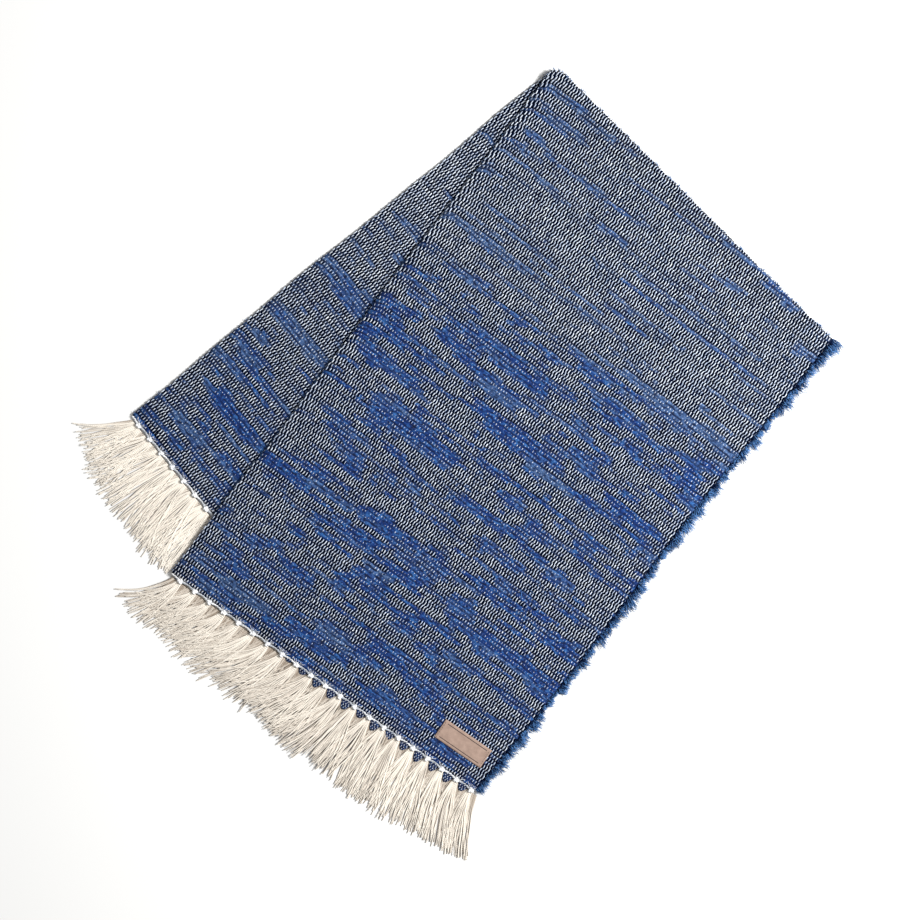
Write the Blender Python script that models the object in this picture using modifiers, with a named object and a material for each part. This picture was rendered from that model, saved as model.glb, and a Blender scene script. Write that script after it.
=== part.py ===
"""A hand-woven cotton rug, 0.6 m by 1.84 m, folded once with a skew and lying flat on a floor.

The cloth is one solid: the upper layer, the round fold and the lower layer, with the cut weft
ends standing out of one long edge as clumps. Each woven end has a cord of knots with its
tassels, and a small woven label is sewn to one corner of the upper layer.

Everything is worked out in the upper layer's own frame: X runs along the weft from the neat
edge to the edge with the cut ends, and Y along the warp from the upper fringe to the fold.
One empty then carries it to the middle of the whole thing's footprint. Metres, +Z up.
"""

import math
import random

import bmesh
import bpy
from mathutils import Matrix, Vector

# Where the corners of the two layers lie, in the upper layer's frame.
FRINGE_LEFT, FRINGE_RIGHT = Vector((0.000, 0.000)), Vector((0.585, 0.018))
FOLD_LEFT, FOLD_RIGHT = Vector((-0.005, 0.992)), Vector((0.596, 0.916))
LOWER_LEFT, LOWER_RIGHT = Vector((-0.199, 0.158)), Vector((0.378, 0.020))

# The cloth and its fold.
THICK = 0.005
BETWEEN = 0.0006            # the layers' distance where they lie on each other
FOLD_RADIUS = 0.0055        # of the middle of the cloth, round the fold
FOLD_RUN = 0.042            # how far back from the fold the upper layer still slopes down
FOLD_STEPS = 4              # to each quarter turn, and to the slope behind it
LOWER_RUN = 0.012           # the first row of the lower layer behind the fold
EDGE_WAVE = 0.0016          # how far the neat edge strays from a straight line

# How the upper layer comes down off what it lies on.
LAYER_LIFT = THICK + BETWEEN
FRINGE_LIFT = 0.0030        # over the lower fringe
LAYER_HOLD, LAYER_FALL = 0.020, 0.055
FRINGE_HOLD, FRINGE_FALL = 0.014, 0.030

# The grid that the cloth is made on.
COLUMNS = 12
UPPER_ROWS, LOWER_ROWS = 66, 60

# The clumps of cut weft ends on the long edge.
CLUMP_REACH = 0.017
CLUMP_VARY = (0.45, 1.1)    # of that reach
CLUMP_SLIP = 0.22           # how far a tip slips along the edge, as a share of its row
CLUMP_ROW = 0.008           # shorter rows, in the fold, have no clump

# Along a clump: the share of its reach, and its width's and height's shares of the root's.
CLUMP_RINGS = ((0.5, 0.86, 0.90), (1.0, 0.55, 0.60))

# The fringes.
TASSELS = 21
LOCKS = 5                   # to each tassel
FIRST_KNOT, KNOT_PITCH = 0.019, 0.028
SEAM = 0.0003               # between the cord and the cloth's edge
CORD_DEPTH, CORD_HEIGHT = 0.0030, 0.0036
KNOT_DEPTH, KNOT_HEIGHT, KNOT_WIDTH = 0.0080, 0.0050, 0.0105
HEADING_DEPTH = 0.0095      # dark heading that shows between the knots
HEADING_FROM = 7            # from this knot of the upper fringe on
LOCK_HEIGHT = 0.0024
LOCK_GAP = 0.0005
FAN_SHARE = 0.88            # of the way to the next tassel
BEND_AT = 0.35              # of its length, up to which a tassel leaves the knot straight
STEP = 0.05                 # of its length, over which its direction is taken

# Along a lock: the share of its length, how far it has fanned out, and its width's share.
LOCK_RINGS = ((0.22, 0.55, 1.0), (0.60, 0.95, 1.0), (1.0, 1.0, 0.65))

# Knot, lean from straight down the frame in degrees, towards +X, and the tassel's length.
UPPER_TASSELS = (
    (0, -27, 0.090), (3, -30, 0.100), (6, -27, 0.106), (9, -19, 0.108), (12, -9, 0.110),
    (14, -2, 0.112), (16, 10, 0.114), (18, 19, 0.106), (20, 21, 0.096),
)
LOWER_TASSELS = (
    (0, -46, 0.106), (1, -33, 0.110), (2, -25, 0.106), (3, -17, 0.110), (4, -9, 0.112),
    (6, -4, 0.112), (9, -10, 0.108), (20, -14, 0.106),
)

# The woven label on the upper layer.
LABEL_MIDDLE = Vector((0.525, 0.065))
LABEL_SIZE = Vector((0.087, 0.033))
LABEL_THICK, LABEL_TURN = 0.0008, math.radians(3)
LABEL_SEAT = 0.0007         # the cloth still slopes up a little under its one end

# Colour, roughness.
BLUE = ((0.030, 0.085, 0.290), 0.95)
CREAM = ((0.780, 0.720, 0.620), 0.95)
TAUPE = ((0.250, 0.215, 0.200), 0.90)


def smooth(x):
    """0 below 0, 1 above 1, and a soft step between."""
    x = min(max(x, 0.0), 1.0)
    return x * x * (3 - 2 * x)


def between(table, knot):
    """Lean and length of a tassel, read between the rows of its table."""
    for (low, *first), (high, *second) in zip(table, table[1:]):
        if low <= knot <= high:
            share = (knot - low) / (high - low)
            return [a + (b - a) * share for a, b in zip(first, second)]
    raise ValueError(knot)


def outward(start, end):
    """The unit normal on the right of the way from start to end."""
    way = (end - start).normalized()
    return Vector((way.y, -way.x))


FOLD_WAY = (FOLD_RIGHT - FOLD_LEFT).normalized()
FOLD_OUT = -outward(FOLD_LEFT, FOLD_RIGHT)
SKEW = -FOLD_WAY.y / FOLD_WAY.x
LOWER_END_OUT = outward(LOWER_LEFT, LOWER_RIGHT)
LOWER_SIDE_OUT = outward(LOWER_RIGHT, FOLD_RIGHT)
TASSEL_REACH = max(length for _, _, length in LOWER_TASSELS)


def lift(place):
    """How high the upper layer's underside lies over this place of the floor."""
    past_end = (place - LOWER_LEFT).dot(LOWER_END_OUT)
    past_side = (place - LOWER_RIGHT).dot(LOWER_SIDE_OUT)
    off_cloth = max(past_end - KNOT_DEPTH - SEAM, past_side)
    off_fringe = max(past_end - KNOT_DEPTH - TASSEL_REACH, past_side)
    on_cloth = 1 - smooth((off_cloth - LAYER_HOLD) / LAYER_FALL)
    on_fringe = 1 - smooth((off_fringe - FRINGE_HOLD) / FRINGE_FALL)
    return max(LAYER_LIFT * on_cloth, FRINGE_LIFT * on_fringe)


def fold_rows():
    """Rows round the fold, from the lower layer to the upper one.

    Each is the way along the cloth from the crest, less than 0 on the lower layer, how far the
    row lies back from the fold line, and the height of the middle of the cloth.
    """
    quarter = [math.pi / 2 * k / FOLD_STEPS for k in range(FOLD_STEPS + 1)]
    top = THICK / 2 + 2 * FOLD_RADIUS
    flat = THICK / 2 + LAYER_LIFT
    bend = FOLD_RADIUS * math.pi / 2
    rows = [(-(bend + LOWER_RUN - FOLD_RADIUS), LOWER_RUN, THICK / 2)]
    for angle in [-a for a in reversed(quarter)] + quarter[1:]:
        back = FOLD_RADIUS * (1 - math.cos(angle))
        rows.append((FOLD_RADIUS * angle, back, THICK / 2 + FOLD_RADIUS * (1 + math.sin(angle))))
    for k in range(1, FOLD_STEPS + 1):
        share = k / FOLD_STEPS
        run = (FOLD_RUN - FOLD_RADIUS) * share
        rows.append((bend + run, FOLD_RADIUS + run, top + (flat - top) * smooth(share)))
    return rows


def at_fold(across, row):
    """The place of a point of a fold row, this share of the way across the cloth."""
    way, back, height = row
    place = FOLD_LEFT.lerp(FOLD_RIGHT, across) - back * FOLD_OUT + way * SKEW * FOLD_WAY
    return place.to_3d() + Vector((0, 0, height))


def stray(along, across, phase):
    """How far an edge strays sideways: the neat edge wavers, and the other one bows too."""
    neat = EDGE_WAVE * (math.sin(11 * along + phase) + 0.5 * math.sin(29 * along))
    cut = 2 * EDGE_WAVE * math.sin(7.5 * along + 2.1 + phase)
    return neat * (1 - across) + cut * across


def cloth_grid():
    """The middle of the cloth as rows of points, from the lower fringe round to the upper."""
    shares = [k / COLUMNS for k in range(COLUMNS + 1)]
    bend = fold_rows()
    rows = []
    for k in range(LOWER_ROWS):
        share = k / LOWER_ROWS
        row = []
        for across in shares:
            start = LOWER_LEFT.lerp(LOWER_RIGHT, across)
            place = start.lerp(at_fold(across, bend[0]).to_2d(), share)
            place.x += stray(share * 0.9, across, 1.0) * smooth(8 * share) * smooth(8 - 8 * share)
            row.append(place.to_3d() + Vector((0, 0, THICK / 2)))
        rows.append(row)
    rows += [[at_fold(across, row) for across in shares] for row in bend]
    for k in range(1, UPPER_ROWS + 1):
        share = k / UPPER_ROWS
        row = []
        for across in shares:
            end = FRINGE_LEFT.lerp(FRINGE_RIGHT, across)
            place = at_fold(across, bend[-1]).to_2d().lerp(end, share)
            place.x += stray(share, across, 0.3) * smooth(8 * share) * smooth(8 - 8 * share)
            row.append(place.to_3d() + Vector((0, 0, THICK / 2 + lift(place))))
        rows.append(row)
    return rows


def material(name, colour, roughness):
    made = bpy.data.materials.new(name)
    made.use_nodes = True
    shader = made.node_tree.nodes["Principled BSDF"]
    shader.inputs["Base Color"].default_value = (*colour, 1)
    shader.inputs["Roughness"].default_value = roughness
    return made


def add_object(name, mesh, finish, collection, parent):
    made = bpy.data.objects.new(name, mesh)
    mesh.materials.append(finish)
    collection.objects.link(made)
    made.parent = parent
    return made


def draw_out(bm, face, rings):
    """Draws a four-sided face out through rings of four places, in the order of its corners."""
    for ring in rings:
        face = bmesh.ops.extrude_discrete_faces(bm, faces=[face])["faces"][0]
        for corner, place in zip(face.verts, ring):
            corner.co = place


def clump_rings(corners, sides, tops, rng):
    """Two rings that draw a rim face out into a clump of cut ends.

    sides says which end of the row each corner is at, and tops whether it is on top.
    """
    first = sum((c for c, side in zip(corners, sides) if not side), Vector()) / 2
    last = sum((c for c, side in zip(corners, sides) if side), Vector()) / 2
    middle, row = (first + last) / 2, last - first
    out = Vector((row.y, -row.x, 0)).normalized()
    if out.x < 0:
        out = -out
    reach = CLUMP_REACH * rng.uniform(*CLUMP_VARY)
    slip = row * rng.uniform(-CLUMP_SLIP, CLUMP_SLIP)
    rings = []
    for share, width, height in CLUMP_RINGS:
        centre = middle + out * reach * share + slip * share
        low = middle.z - THICK / 2
        rings.append([
            Vector((*(centre + row * width * (side - 0.5)).xy, low + THICK * height * top))
            for side, top in zip(sides, tops)
        ])
    return rings


def make_cloth(finish, collection, parent):
    """One sheet given its thickness, with a clump drawn out of each row of the cut edge."""
    grid = cloth_grid()
    wide = COLUMNS + 1
    sheet = bpy.data.meshes.new("sheet")
    faces = [
        (r * wide + c, r * wide + c + 1, (r + 1) * wide + c + 1, (r + 1) * wide + c)
        for r in range(len(grid) - 1)
        for c in range(COLUMNS)
    ]
    sheet.from_pydata([point for row in grid for point in row], [], [f[::-1] for f in faces])
    guide = bpy.data.objects.new("sheet", sheet)
    collection.objects.link(guide)
    solidify = guide.modifiers.new("thickness", "SOLIDIFY")
    solidify.thickness = THICK
    solidify.offset = 0
    solidify.use_even_offset = True
    graph = bpy.context.evaluated_depsgraph_get()
    mesh = bpy.data.meshes.new_from_object(guide.evaluated_get(graph))
    bpy.data.objects.remove(guide)

    bm = bmesh.new()
    bm.from_mesh(mesh)
    bm.verts.ensure_lookup_table()
    count = len(grid) * wide
    rng = random.Random(5)
    for face in list(bm.faces):
        index = [corner.index for corner in face.verts]
        rows = [i % count // wide for i in index]
        if any(i % wide != COLUMNS for i in [i % count for i in index]) or len(set(rows)) != 2:
            continue
        if face.calc_area() < THICK * CLUMP_ROW:
            continue
        corners = [corner.co.copy() for corner in face.verts]
        sides = [row == max(rows) for row in rows]
        tops = [corner.z > sum(c.z for c in corners) / 4 for corner in corners]
        draw_out(bm, face, clump_rings(corners, sides, tops, rng))
    bm.to_mesh(mesh)
    bm.free()
    return add_object("rug_cloth", mesh, finish, collection, parent)


def tassel_lines(start, end, table):
    """For each tassel its root, the point that it bends towards and its tip."""
    way, out = (end - start).normalized(), outward(start, end)
    lines = []
    for knot in range(TASSELS):
        lean, length = between(table, knot)
        lean = math.radians(lean)
        root = start + way * (FIRST_KNOT + KNOT_PITCH * knot) + out * KNOT_DEPTH
        tip = root + length * Vector((math.sin(lean), -math.cos(lean)))
        lines.append((root, root + out * length * BEND_AT, tip))
    return lines


def along(line, share):
    root, middle, tip = line
    return root.lerp(middle, share).lerp(middle.lerp(tip, share), share)


def lock_rings(lines, knot, part, height_at):
    """The rings of one lock of a tassel, part from -0.5 to 0.5 across its fan."""
    rings = []
    for share, fan, width_share in LOCK_RINGS:
        here, there = max(knot - 1, 0), min(knot + 1, TASSELS - 1)
        step = (along(lines[there], share) - along(lines[here], share)) / (there - here)
        middle = along(lines[knot], share)
        run = along(lines[knot], min(share + STEP, 1)) - along(lines[knot], share - STEP)
        side = Vector((-run.y, run.x)).normalized()
        spread = step.dot(side) * FAN_SHARE * fan
        centre = middle + step * FAN_SHARE * fan * part
        half = max(abs(spread) / LOCKS - LOCK_GAP, LOCK_GAP) * width_share / 2
        across = side * math.copysign(half, spread)
        ring = []
        for turn, top in ((-1, 0), (1, 0), (1, 1), (-1, 1)):
            place = centre + across * turn
            ring.append(place.to_3d() + Vector((0, 0, height_at(centre) + top * LOCK_HEIGHT)))
        rings.append(ring)
    return rings


def make_fringe(name, start, end, table, height_at, heading_from, finish, collection, parent):
    """The cord with its knots, a narrow strip along the cloth's end, and the tassels' locks."""
    way, out = (end - start).normalized(), outward(start, end)
    half, root_step = KNOT_WIDTH / 2, KNOT_WIDTH / LOCKS
    # Along the strip: distance, depth, height, and the lock that leaves the next face.
    stations = [(0, CORD_DEPTH, CORD_HEIGHT, None)]
    for knot in range(TASSELS):
        middle = FIRST_KNOT + KNOT_PITCH * knot
        gap = HEADING_DEPTH if knot >= heading_from else CORD_DEPTH
        for k in range(LOCKS):
            stations.append((middle - half + root_step * k, KNOT_DEPTH, KNOT_HEIGHT, (knot, k)))
        stations.append((middle + half, KNOT_DEPTH, KNOT_HEIGHT, None))
        if gap > CORD_DEPTH and knot < TASSELS - 1:
            rest = (KNOT_PITCH - KNOT_WIDTH) / 3
            stations.append((middle + half + rest, gap, CORD_HEIGHT, None))
            stations.append((middle + half + 2 * rest, gap, CORD_HEIGHT, None))
        elif knot < TASSELS - 1:
            stations.append((middle + KNOT_PITCH / 2, CORD_DEPTH, CORD_HEIGHT, None))
    stations.append(((end - start).length, CORD_DEPTH, CORD_HEIGHT, None))

    bm = bmesh.new()
    rings = []
    for distance, depth, height, _ in stations:
        edge = start + way * distance + out * SEAM
        low = height_at(edge)
        rings.append([
            bm.verts.new((*place, z))
            for place, z in (
                (edge, low), (edge, low + height),
                (edge + out * depth, low + height), (edge + out * depth, low),
            )
        ])
    bm.faces.new(rings[0])
    bm.faces.new(rings[-1][::-1])
    lines = tassel_lines(start, end, table)
    for ring, following, (_, _, _, lock) in zip(rings, rings[1:], stations):
        for k in range(4):
            corners = (ring[k], following[k], following[(k + 1) % 4], ring[(k + 1) % 4])
            if k != 2:
                bm.faces.new(corners)
        outer = bm.faces.new((ring[3], following[3], following[2], ring[2])[::-1])
        if lock:
            knot, k = lock
            drawn = lock_rings(lines, knot, (k + 0.5) / LOCKS - 0.5, height_at)
            order = [(ring[3], 0), (following[3], 1), (following[2], 2), (ring[2], 3)]
            turn = [next(n for v, n in order if v is corner) for corner in outer.verts]
            draw_out(bm, outer, [[places[n] for n in turn] for places in drawn])
    bmesh.ops.recalc_face_normals(bm, faces=bm.faces)
    mesh = bpy.data.meshes.new(name)
    bm.to_mesh(mesh)
    bm.free()
    return add_object(name, mesh, finish, collection, parent)


def make_label(finish, collection, parent):
    bm = bmesh.new()
    bmesh.ops.create_cube(bm, size=1, matrix=Matrix.Diagonal((*LABEL_SIZE, LABEL_THICK, 1)))
    mesh = bpy.data.meshes.new("label")
    bm.to_mesh(mesh)
    bm.free()
    label = add_object("label", mesh, finish, collection, parent)
    low = THICK + lift(LABEL_MIDDLE) + LABEL_SEAT
    label.location = LABEL_MIDDLE.to_3d() + Vector((0, 0, low + LABEL_THICK / 2))
    label.rotation_euler.z = LABEL_TURN
    return label


def to_footprint(parent, pieces):
    """Moves the empty so that the middle of the whole thing's footprint is the origin."""
    bpy.context.view_layer.update()
    places = [piece.matrix_world @ v.co for piece in pieces for v in piece.data.vertices]
    for axis in (0, 1):
        values = [place[axis] for place in places]
        parent.location[axis] = -(min(values) + max(values)) / 2


def main():
    for old in list(bpy.data.objects):
        bpy.data.objects.remove(old)
    collection = bpy.data.collections.new("rug")
    bpy.context.scene.collection.children.link(collection)
    parent = bpy.data.objects.new("rug_place", None)
    collection.objects.link(parent)

    blue = material("rag and warp", *BLUE)
    cream = material("fringe cotton", *CREAM)
    taupe = material("label tape", *TAUPE)
    pieces = [
        make_cloth(blue, collection, parent),
        make_fringe(
            "fringe_upper", FRINGE_LEFT, FRINGE_RIGHT, UPPER_TASSELS, lift, HEADING_FROM,
            cream, collection, parent,
        ),
        make_fringe(
            "fringe_lower", LOWER_LEFT, LOWER_RIGHT, LOWER_TASSELS, lambda place: 0.0, TASSELS,
            cream, collection, parent,
        ),
        make_label(taupe, collection, parent),
    ]
    to_footprint(parent, pieces)
    middle = -parent.location
    print(f"footprint's middle in the layer's frame: {middle.x:.4f}, {middle.y:.4f}")


main()
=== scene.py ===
# %% [markdown]
# # A hand-woven cotton rug, folded once
#
# The real thing is a runner of about 0.6 m by 1.84 m, woven on a floor loom. Fat strips of
# blue cotton are the weft, and white and black cotton threads are the warp. It lies folded
# once, a little askew, so that both fringes show. This file dresses the plain solids of that
# rug: it loads them as a fixed frame, rebuilds every surface on them with the weave, the
# threads and the loose fibres, and hides each solid that a finished piece stands for.

# %% Load the frame
import math

import bpy
import numpy as np
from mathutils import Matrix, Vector


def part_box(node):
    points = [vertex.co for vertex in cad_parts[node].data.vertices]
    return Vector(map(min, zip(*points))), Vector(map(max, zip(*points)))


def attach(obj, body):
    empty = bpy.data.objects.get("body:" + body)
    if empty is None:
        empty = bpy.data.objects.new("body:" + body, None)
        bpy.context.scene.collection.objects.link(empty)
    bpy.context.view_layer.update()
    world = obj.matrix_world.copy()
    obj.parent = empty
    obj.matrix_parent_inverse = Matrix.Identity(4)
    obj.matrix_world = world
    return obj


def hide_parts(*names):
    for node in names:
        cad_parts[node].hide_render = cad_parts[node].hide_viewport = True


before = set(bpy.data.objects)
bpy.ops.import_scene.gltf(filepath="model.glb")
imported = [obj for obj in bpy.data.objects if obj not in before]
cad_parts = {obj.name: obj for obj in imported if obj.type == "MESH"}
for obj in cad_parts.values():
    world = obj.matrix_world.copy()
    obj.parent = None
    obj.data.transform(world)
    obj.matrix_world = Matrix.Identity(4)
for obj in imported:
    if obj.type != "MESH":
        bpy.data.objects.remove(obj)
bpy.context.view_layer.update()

print("solids:", ", ".join(sorted(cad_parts)))

# %% [markdown]
# ## Sizes of the real rug
#
# Everything below is worked out in the upper layer's own directions: X along the weft, from
# the neat edge to the cut one, and Y along the warp, from the upper fringe to the fold. The
# corners of the two layers are the driving sizes, and the woven label, whose place is known
# both here and in the frame, ties these directions to the frame.

# %% Corners and sizes
FRINGE_LEFT, FRINGE_RIGHT = np.array((0.000, 0.000)), np.array((0.585, 0.018))
FOLD_LEFT, FOLD_RIGHT = np.array((-0.005, 0.992)), np.array((0.596, 0.916))
LOWER_LEFT, LOWER_RIGHT = np.array((-0.199, 0.158)), np.array((0.378, 0.020))
ENDS = {"upper": (FRINGE_LEFT, FRINGE_RIGHT), "lower": (LOWER_LEFT, LOWER_RIGHT)}

THICK = 0.005
LAYER_LIFT, FRINGE_LIFT = 0.0056, 0.0030    # how high the cloth or the fringe below lifts a layer
LAYER_HOLD, LAYER_FALL = 0.020, 0.055       # past that cloth, how far it stays up and then sinks
FRINGE_HOLD, FRINGE_FALL = 0.014, 0.030     # the same past the fringe
FOLD_RADIUS, FOLD_RUN, LOWER_RUN = 0.0055, 0.042, 0.012     # the bend, and its run into each layer
EDGE_WAVE = 0.0016                          # how far the long edges stray
CORNER, CORNER_REACH = 0.009, 0.030         # how far the fold's corner at the neat edge is rounded

TASSELS, FIRST_KNOT, KNOT_PITCH, KNOT_DEPTH = 21, 0.019, 0.028, 0.0080
PICKS, REPEATS = 264, 124           # weft rows, and repeats of the warp's four threads
LABEL_MIDDLE, LABEL_SIZE, LABEL_TURN = (0.525, 0.065), (0.087, 0.033), math.radians(3)

label_box = np.array(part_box("label"))
PLACE = np.append(label_box.mean(axis=0)[:2] - LABEL_MIDDLE, 0.0)
print("from the layer's corner to the frame's origin:", PLACE.round(4))

# %% [markdown]
# ## Camera, floor and light
#
# The rug was photographed from straight above, so the camera looks down and is only turned
# about the vertical, until the weft runs down to the right as it does there. The floor is a
# plain pale sheet. One big soft light from the picture's right and a bright even world give
# the narrow shadow that the upper layer's neat edge throws on the lower layer.

# %% Camera
VIEW_WIDTH = 1.442                  # what the picture takes in at the floor
VIEW_MIDDLE, VIEW_HEIGHT = (0.251, 0.414), 3.0
WEFT_SLOPE = math.radians(37.5)     # how far the weft runs down to the right
SENSOR, FAR = 36.0, 20.0


def add_object(name, data):
    """An object at the origin that shows this data."""
    made = bpy.data.objects.new(name, data)
    bpy.context.scene.collection.objects.link(made)
    return made


camera = add_object("camera", bpy.data.cameras.new("camera"))
camera.data.sensor_width, camera.data.clip_end = SENSOR, FAR
camera.data.lens = SENSOR * VIEW_HEIGHT / VIEW_WIDTH
camera.location = (VIEW_MIDDLE[0] + PLACE[0], VIEW_MIDDLE[1] + PLACE[1], VIEW_HEIGHT)
camera.rotation_euler = (0, 0, WEFT_SLOPE)
bpy.context.scene.camera = camera
print("lens", round(camera.data.lens, 1), "mm")

# %% Floor and light
FLOOR_SIDE, FLOOR_DROP = 30.0, 0.0002
PAPER, PAPER_ROUGHNESS, WORLD_STRENGTH = (0.82, 0.817, 0.804, 1), 0.9, 0.41
KEY_RIGHT, KEY_UP, KEY_ABOVE = 1.6, 0.2, 1.6        # towards the light, as the picture lies
KEY_DISTANCE, KEY_SIDE, KEY_POWER = 3.2, 0.9, 185

bpy.ops.mesh.primitive_plane_add(size=FLOOR_SIDE, location=(0, 0, -FLOOR_DROP))
floor = bpy.context.object
floor.name = "floor"
paper = bpy.data.materials.new("pale floor")
paper.use_nodes = True
finish = paper.node_tree.nodes["Principled BSDF"].inputs
finish["Base Color"].default_value = PAPER
finish["Roughness"].default_value = PAPER_ROUGHNESS
floor.data.materials.append(paper)

world = bpy.data.worlds.new("studio")
world.use_nodes = True
sky = world.node_tree.nodes["Background"].inputs
sky["Color"].default_value = (1, 1, 1, 1)
sky["Strength"].default_value = WORLD_STRENGTH
bpy.context.scene.world = world

picture_right = Vector((math.cos(WEFT_SLOPE), math.sin(WEFT_SLOPE), 0))
picture_up = Vector((-picture_right.y, picture_right.x, 0))
towards = picture_right * KEY_RIGHT + picture_up * KEY_UP + Vector((0, 0, KEY_ABOVE))
key = add_object("key", bpy.data.lights.new("key", "AREA"))
key.data.energy, key.data.size = KEY_POWER, KEY_SIDE
key.location = towards.normalized() * KEY_DISTANCE
key.rotation_euler = towards.to_track_quat("Z", "Y").to_euler()
bpy.context.scene.view_settings.view_transform = "Standard"
print("key light and world are set")

# %% [markdown]
# ## How the cloth lies
#
# Weaving gives the cloth two natural directions, so each point of it has two numbers: how
# far across it lies, from the neat edge (0) to the cut edge (1), and how far along, from the
# upper fringe (0) round the fold to the lower fringe (1). One function turns these numbers
# into a place in space. The upper layer lies on the lower one, and comes down softly where
# the lower one ends, and the fold is a round bend that springs up a little.

# %% The plan of the fold
def unit(way):
    """The same way, of length one."""
    return way / np.linalg.norm(way)


def outward(start, end):
    """The unit normal on the right of the way from start to end."""
    way = unit(end - start)
    return np.array((way[1], -way[0]))


FOLD_WAY = unit(FOLD_RIGHT - FOLD_LEFT)
FOLD_OUT = -outward(FOLD_LEFT, FOLD_RIGHT)
SKEW = -FOLD_WAY[1] / FOLD_WAY[0]
LOWER_END_OUT = outward(LOWER_LEFT, LOWER_RIGHT)
LOWER_SIDE_OUT = outward(LOWER_RIGHT, FOLD_RIGHT)
TASSEL_REACH = 0.112                # how far past the lower cloth its fringe reaches


def smooth(x):
    """0 below 0, 1 above 1, and a soft step between."""
    x = np.clip(x, 0.0, 1.0)
    return x * x * (3 - 2 * x)


def between(start, end, share):
    """Points of the plan between two others, for all shares at once."""
    return start + (end - start) * np.asarray(share)[..., None]


def in_space(plan, height):
    """Places of the plan at these heights, in the frame's own axes."""
    height = np.broadcast_to(height, plan.shape[:-1])
    return np.concatenate([plan, height[..., None]], axis=-1) + PLACE


def lift(plan):
    """How high the upper layer's underside lies over these places of the floor."""
    past_end = (plan - LOWER_LEFT) @ LOWER_END_OUT
    past_side = (plan - LOWER_RIGHT) @ LOWER_SIDE_OUT
    off_cloth = np.maximum(past_end - KNOT_DEPTH, past_side)
    off_fringe = np.maximum(past_end - KNOT_DEPTH - TASSEL_REACH, past_side)
    on_cloth = 1 - smooth((off_cloth - LAYER_HOLD) / LAYER_FALL)
    on_fringe = 1 - smooth((off_fringe - FRINGE_HOLD) / FRINGE_FALL)
    return np.maximum(LAYER_LIFT * on_cloth, FRINGE_LIFT * on_fringe)


print("the fold's skew is", round(math.degrees(math.atan(SKEW)), 1), "degrees")

# %% The bend of the fold
QUARTER = FOLD_RADIUS * math.pi / 2
BEND_TOP, BEND_LOW = QUARTER + FOLD_RUN - FOLD_RADIUS, -(QUARTER + LOWER_RUN - FOLD_RADIUS)


def bend(way):
    """How far back from the fold line, and how high, the cloth's middle is this far round it."""
    angle = np.clip(way / FOLD_RADIUS, -math.pi / 2, math.pi / 2)
    straight = np.abs(way) - QUARTER
    back = FOLD_RADIUS * (1 - np.cos(angle)) + np.maximum(straight, 0)
    height = THICK / 2 + FOLD_RADIUS * (1 + np.sin(angle))
    top = THICK / 2 + 2 * FOLD_RADIUS
    slope = smooth(np.where(way > 0, straight, 0) / (FOLD_RUN - FOLD_RADIUS))
    return back, height + (THICK / 2 + LAYER_LIFT - top) * slope


def at_fold(across, way):
    """Where in the plan, and how high, the cloth's middle is this far round the bend."""
    back, height = bend(way)
    plan = between(FOLD_LEFT, FOLD_RIGHT, across)
    back = back + CORNER * (1 - smooth(across / CORNER_REACH)) ** 2
    plan = plan - back[..., None] * FOLD_OUT + (way * SKEW)[..., None] * FOLD_WAY
    return plan, height


# %% How edges and rows stray
NEAT_SLOW, NEAT_QUICK, CUT_SLOW, CUT_START = 11, 29, 7.5, 2.1   # waves of the edges, in radians
EDGE_STEADY, ROW_STEADY = 8, 30     # the ends hold still over one part in so many of the length
ROW_STRAY = 0.00042
# Waves of the rows: height, how quick across the cloth and along it, and where they start.
ROW_WAVES = ((1.0, 7.1, 31, 0.0), (0.7, 17, -53, 1.3), (0.35, 41, 89, 0.5))


def stray(along, across, phase):
    """How far an edge strays sideways: the neat edge wavers, and the cut one bows too."""
    neat = EDGE_WAVE * (np.sin(NEAT_SLOW * along + phase) + 0.5 * np.sin(NEAT_QUICK * along))
    cut = 2 * EDGE_WAVE * np.sin(CUT_SLOW * along + CUT_START + phase)
    both = neat * (1 - across) + cut * across
    return both * smooth(EDGE_STEADY * along) * smooth(EDGE_STEADY - EDGE_STEADY * along)


def waver(across, along):
    """How far hand-beaten rows stray along the cloth, a millimetre or two."""
    waves = sum(high * np.sin(a * across + b * along + start) for high, a, b, start in ROW_WAVES)
    return ROW_STRAY * waves * smooth(ROW_STEADY * along) * smooth(ROW_STEADY - ROW_STEADY * along)


# %% Places on the cloth
STEP_ACROSS, STEP_ALONG = 1e-3, 2e-4        # the steps over which the cloth's directions are taken
CREST_TRIES = (0.48, 0.56, 65)              # where along the cloth its outermost line is looked for


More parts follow.
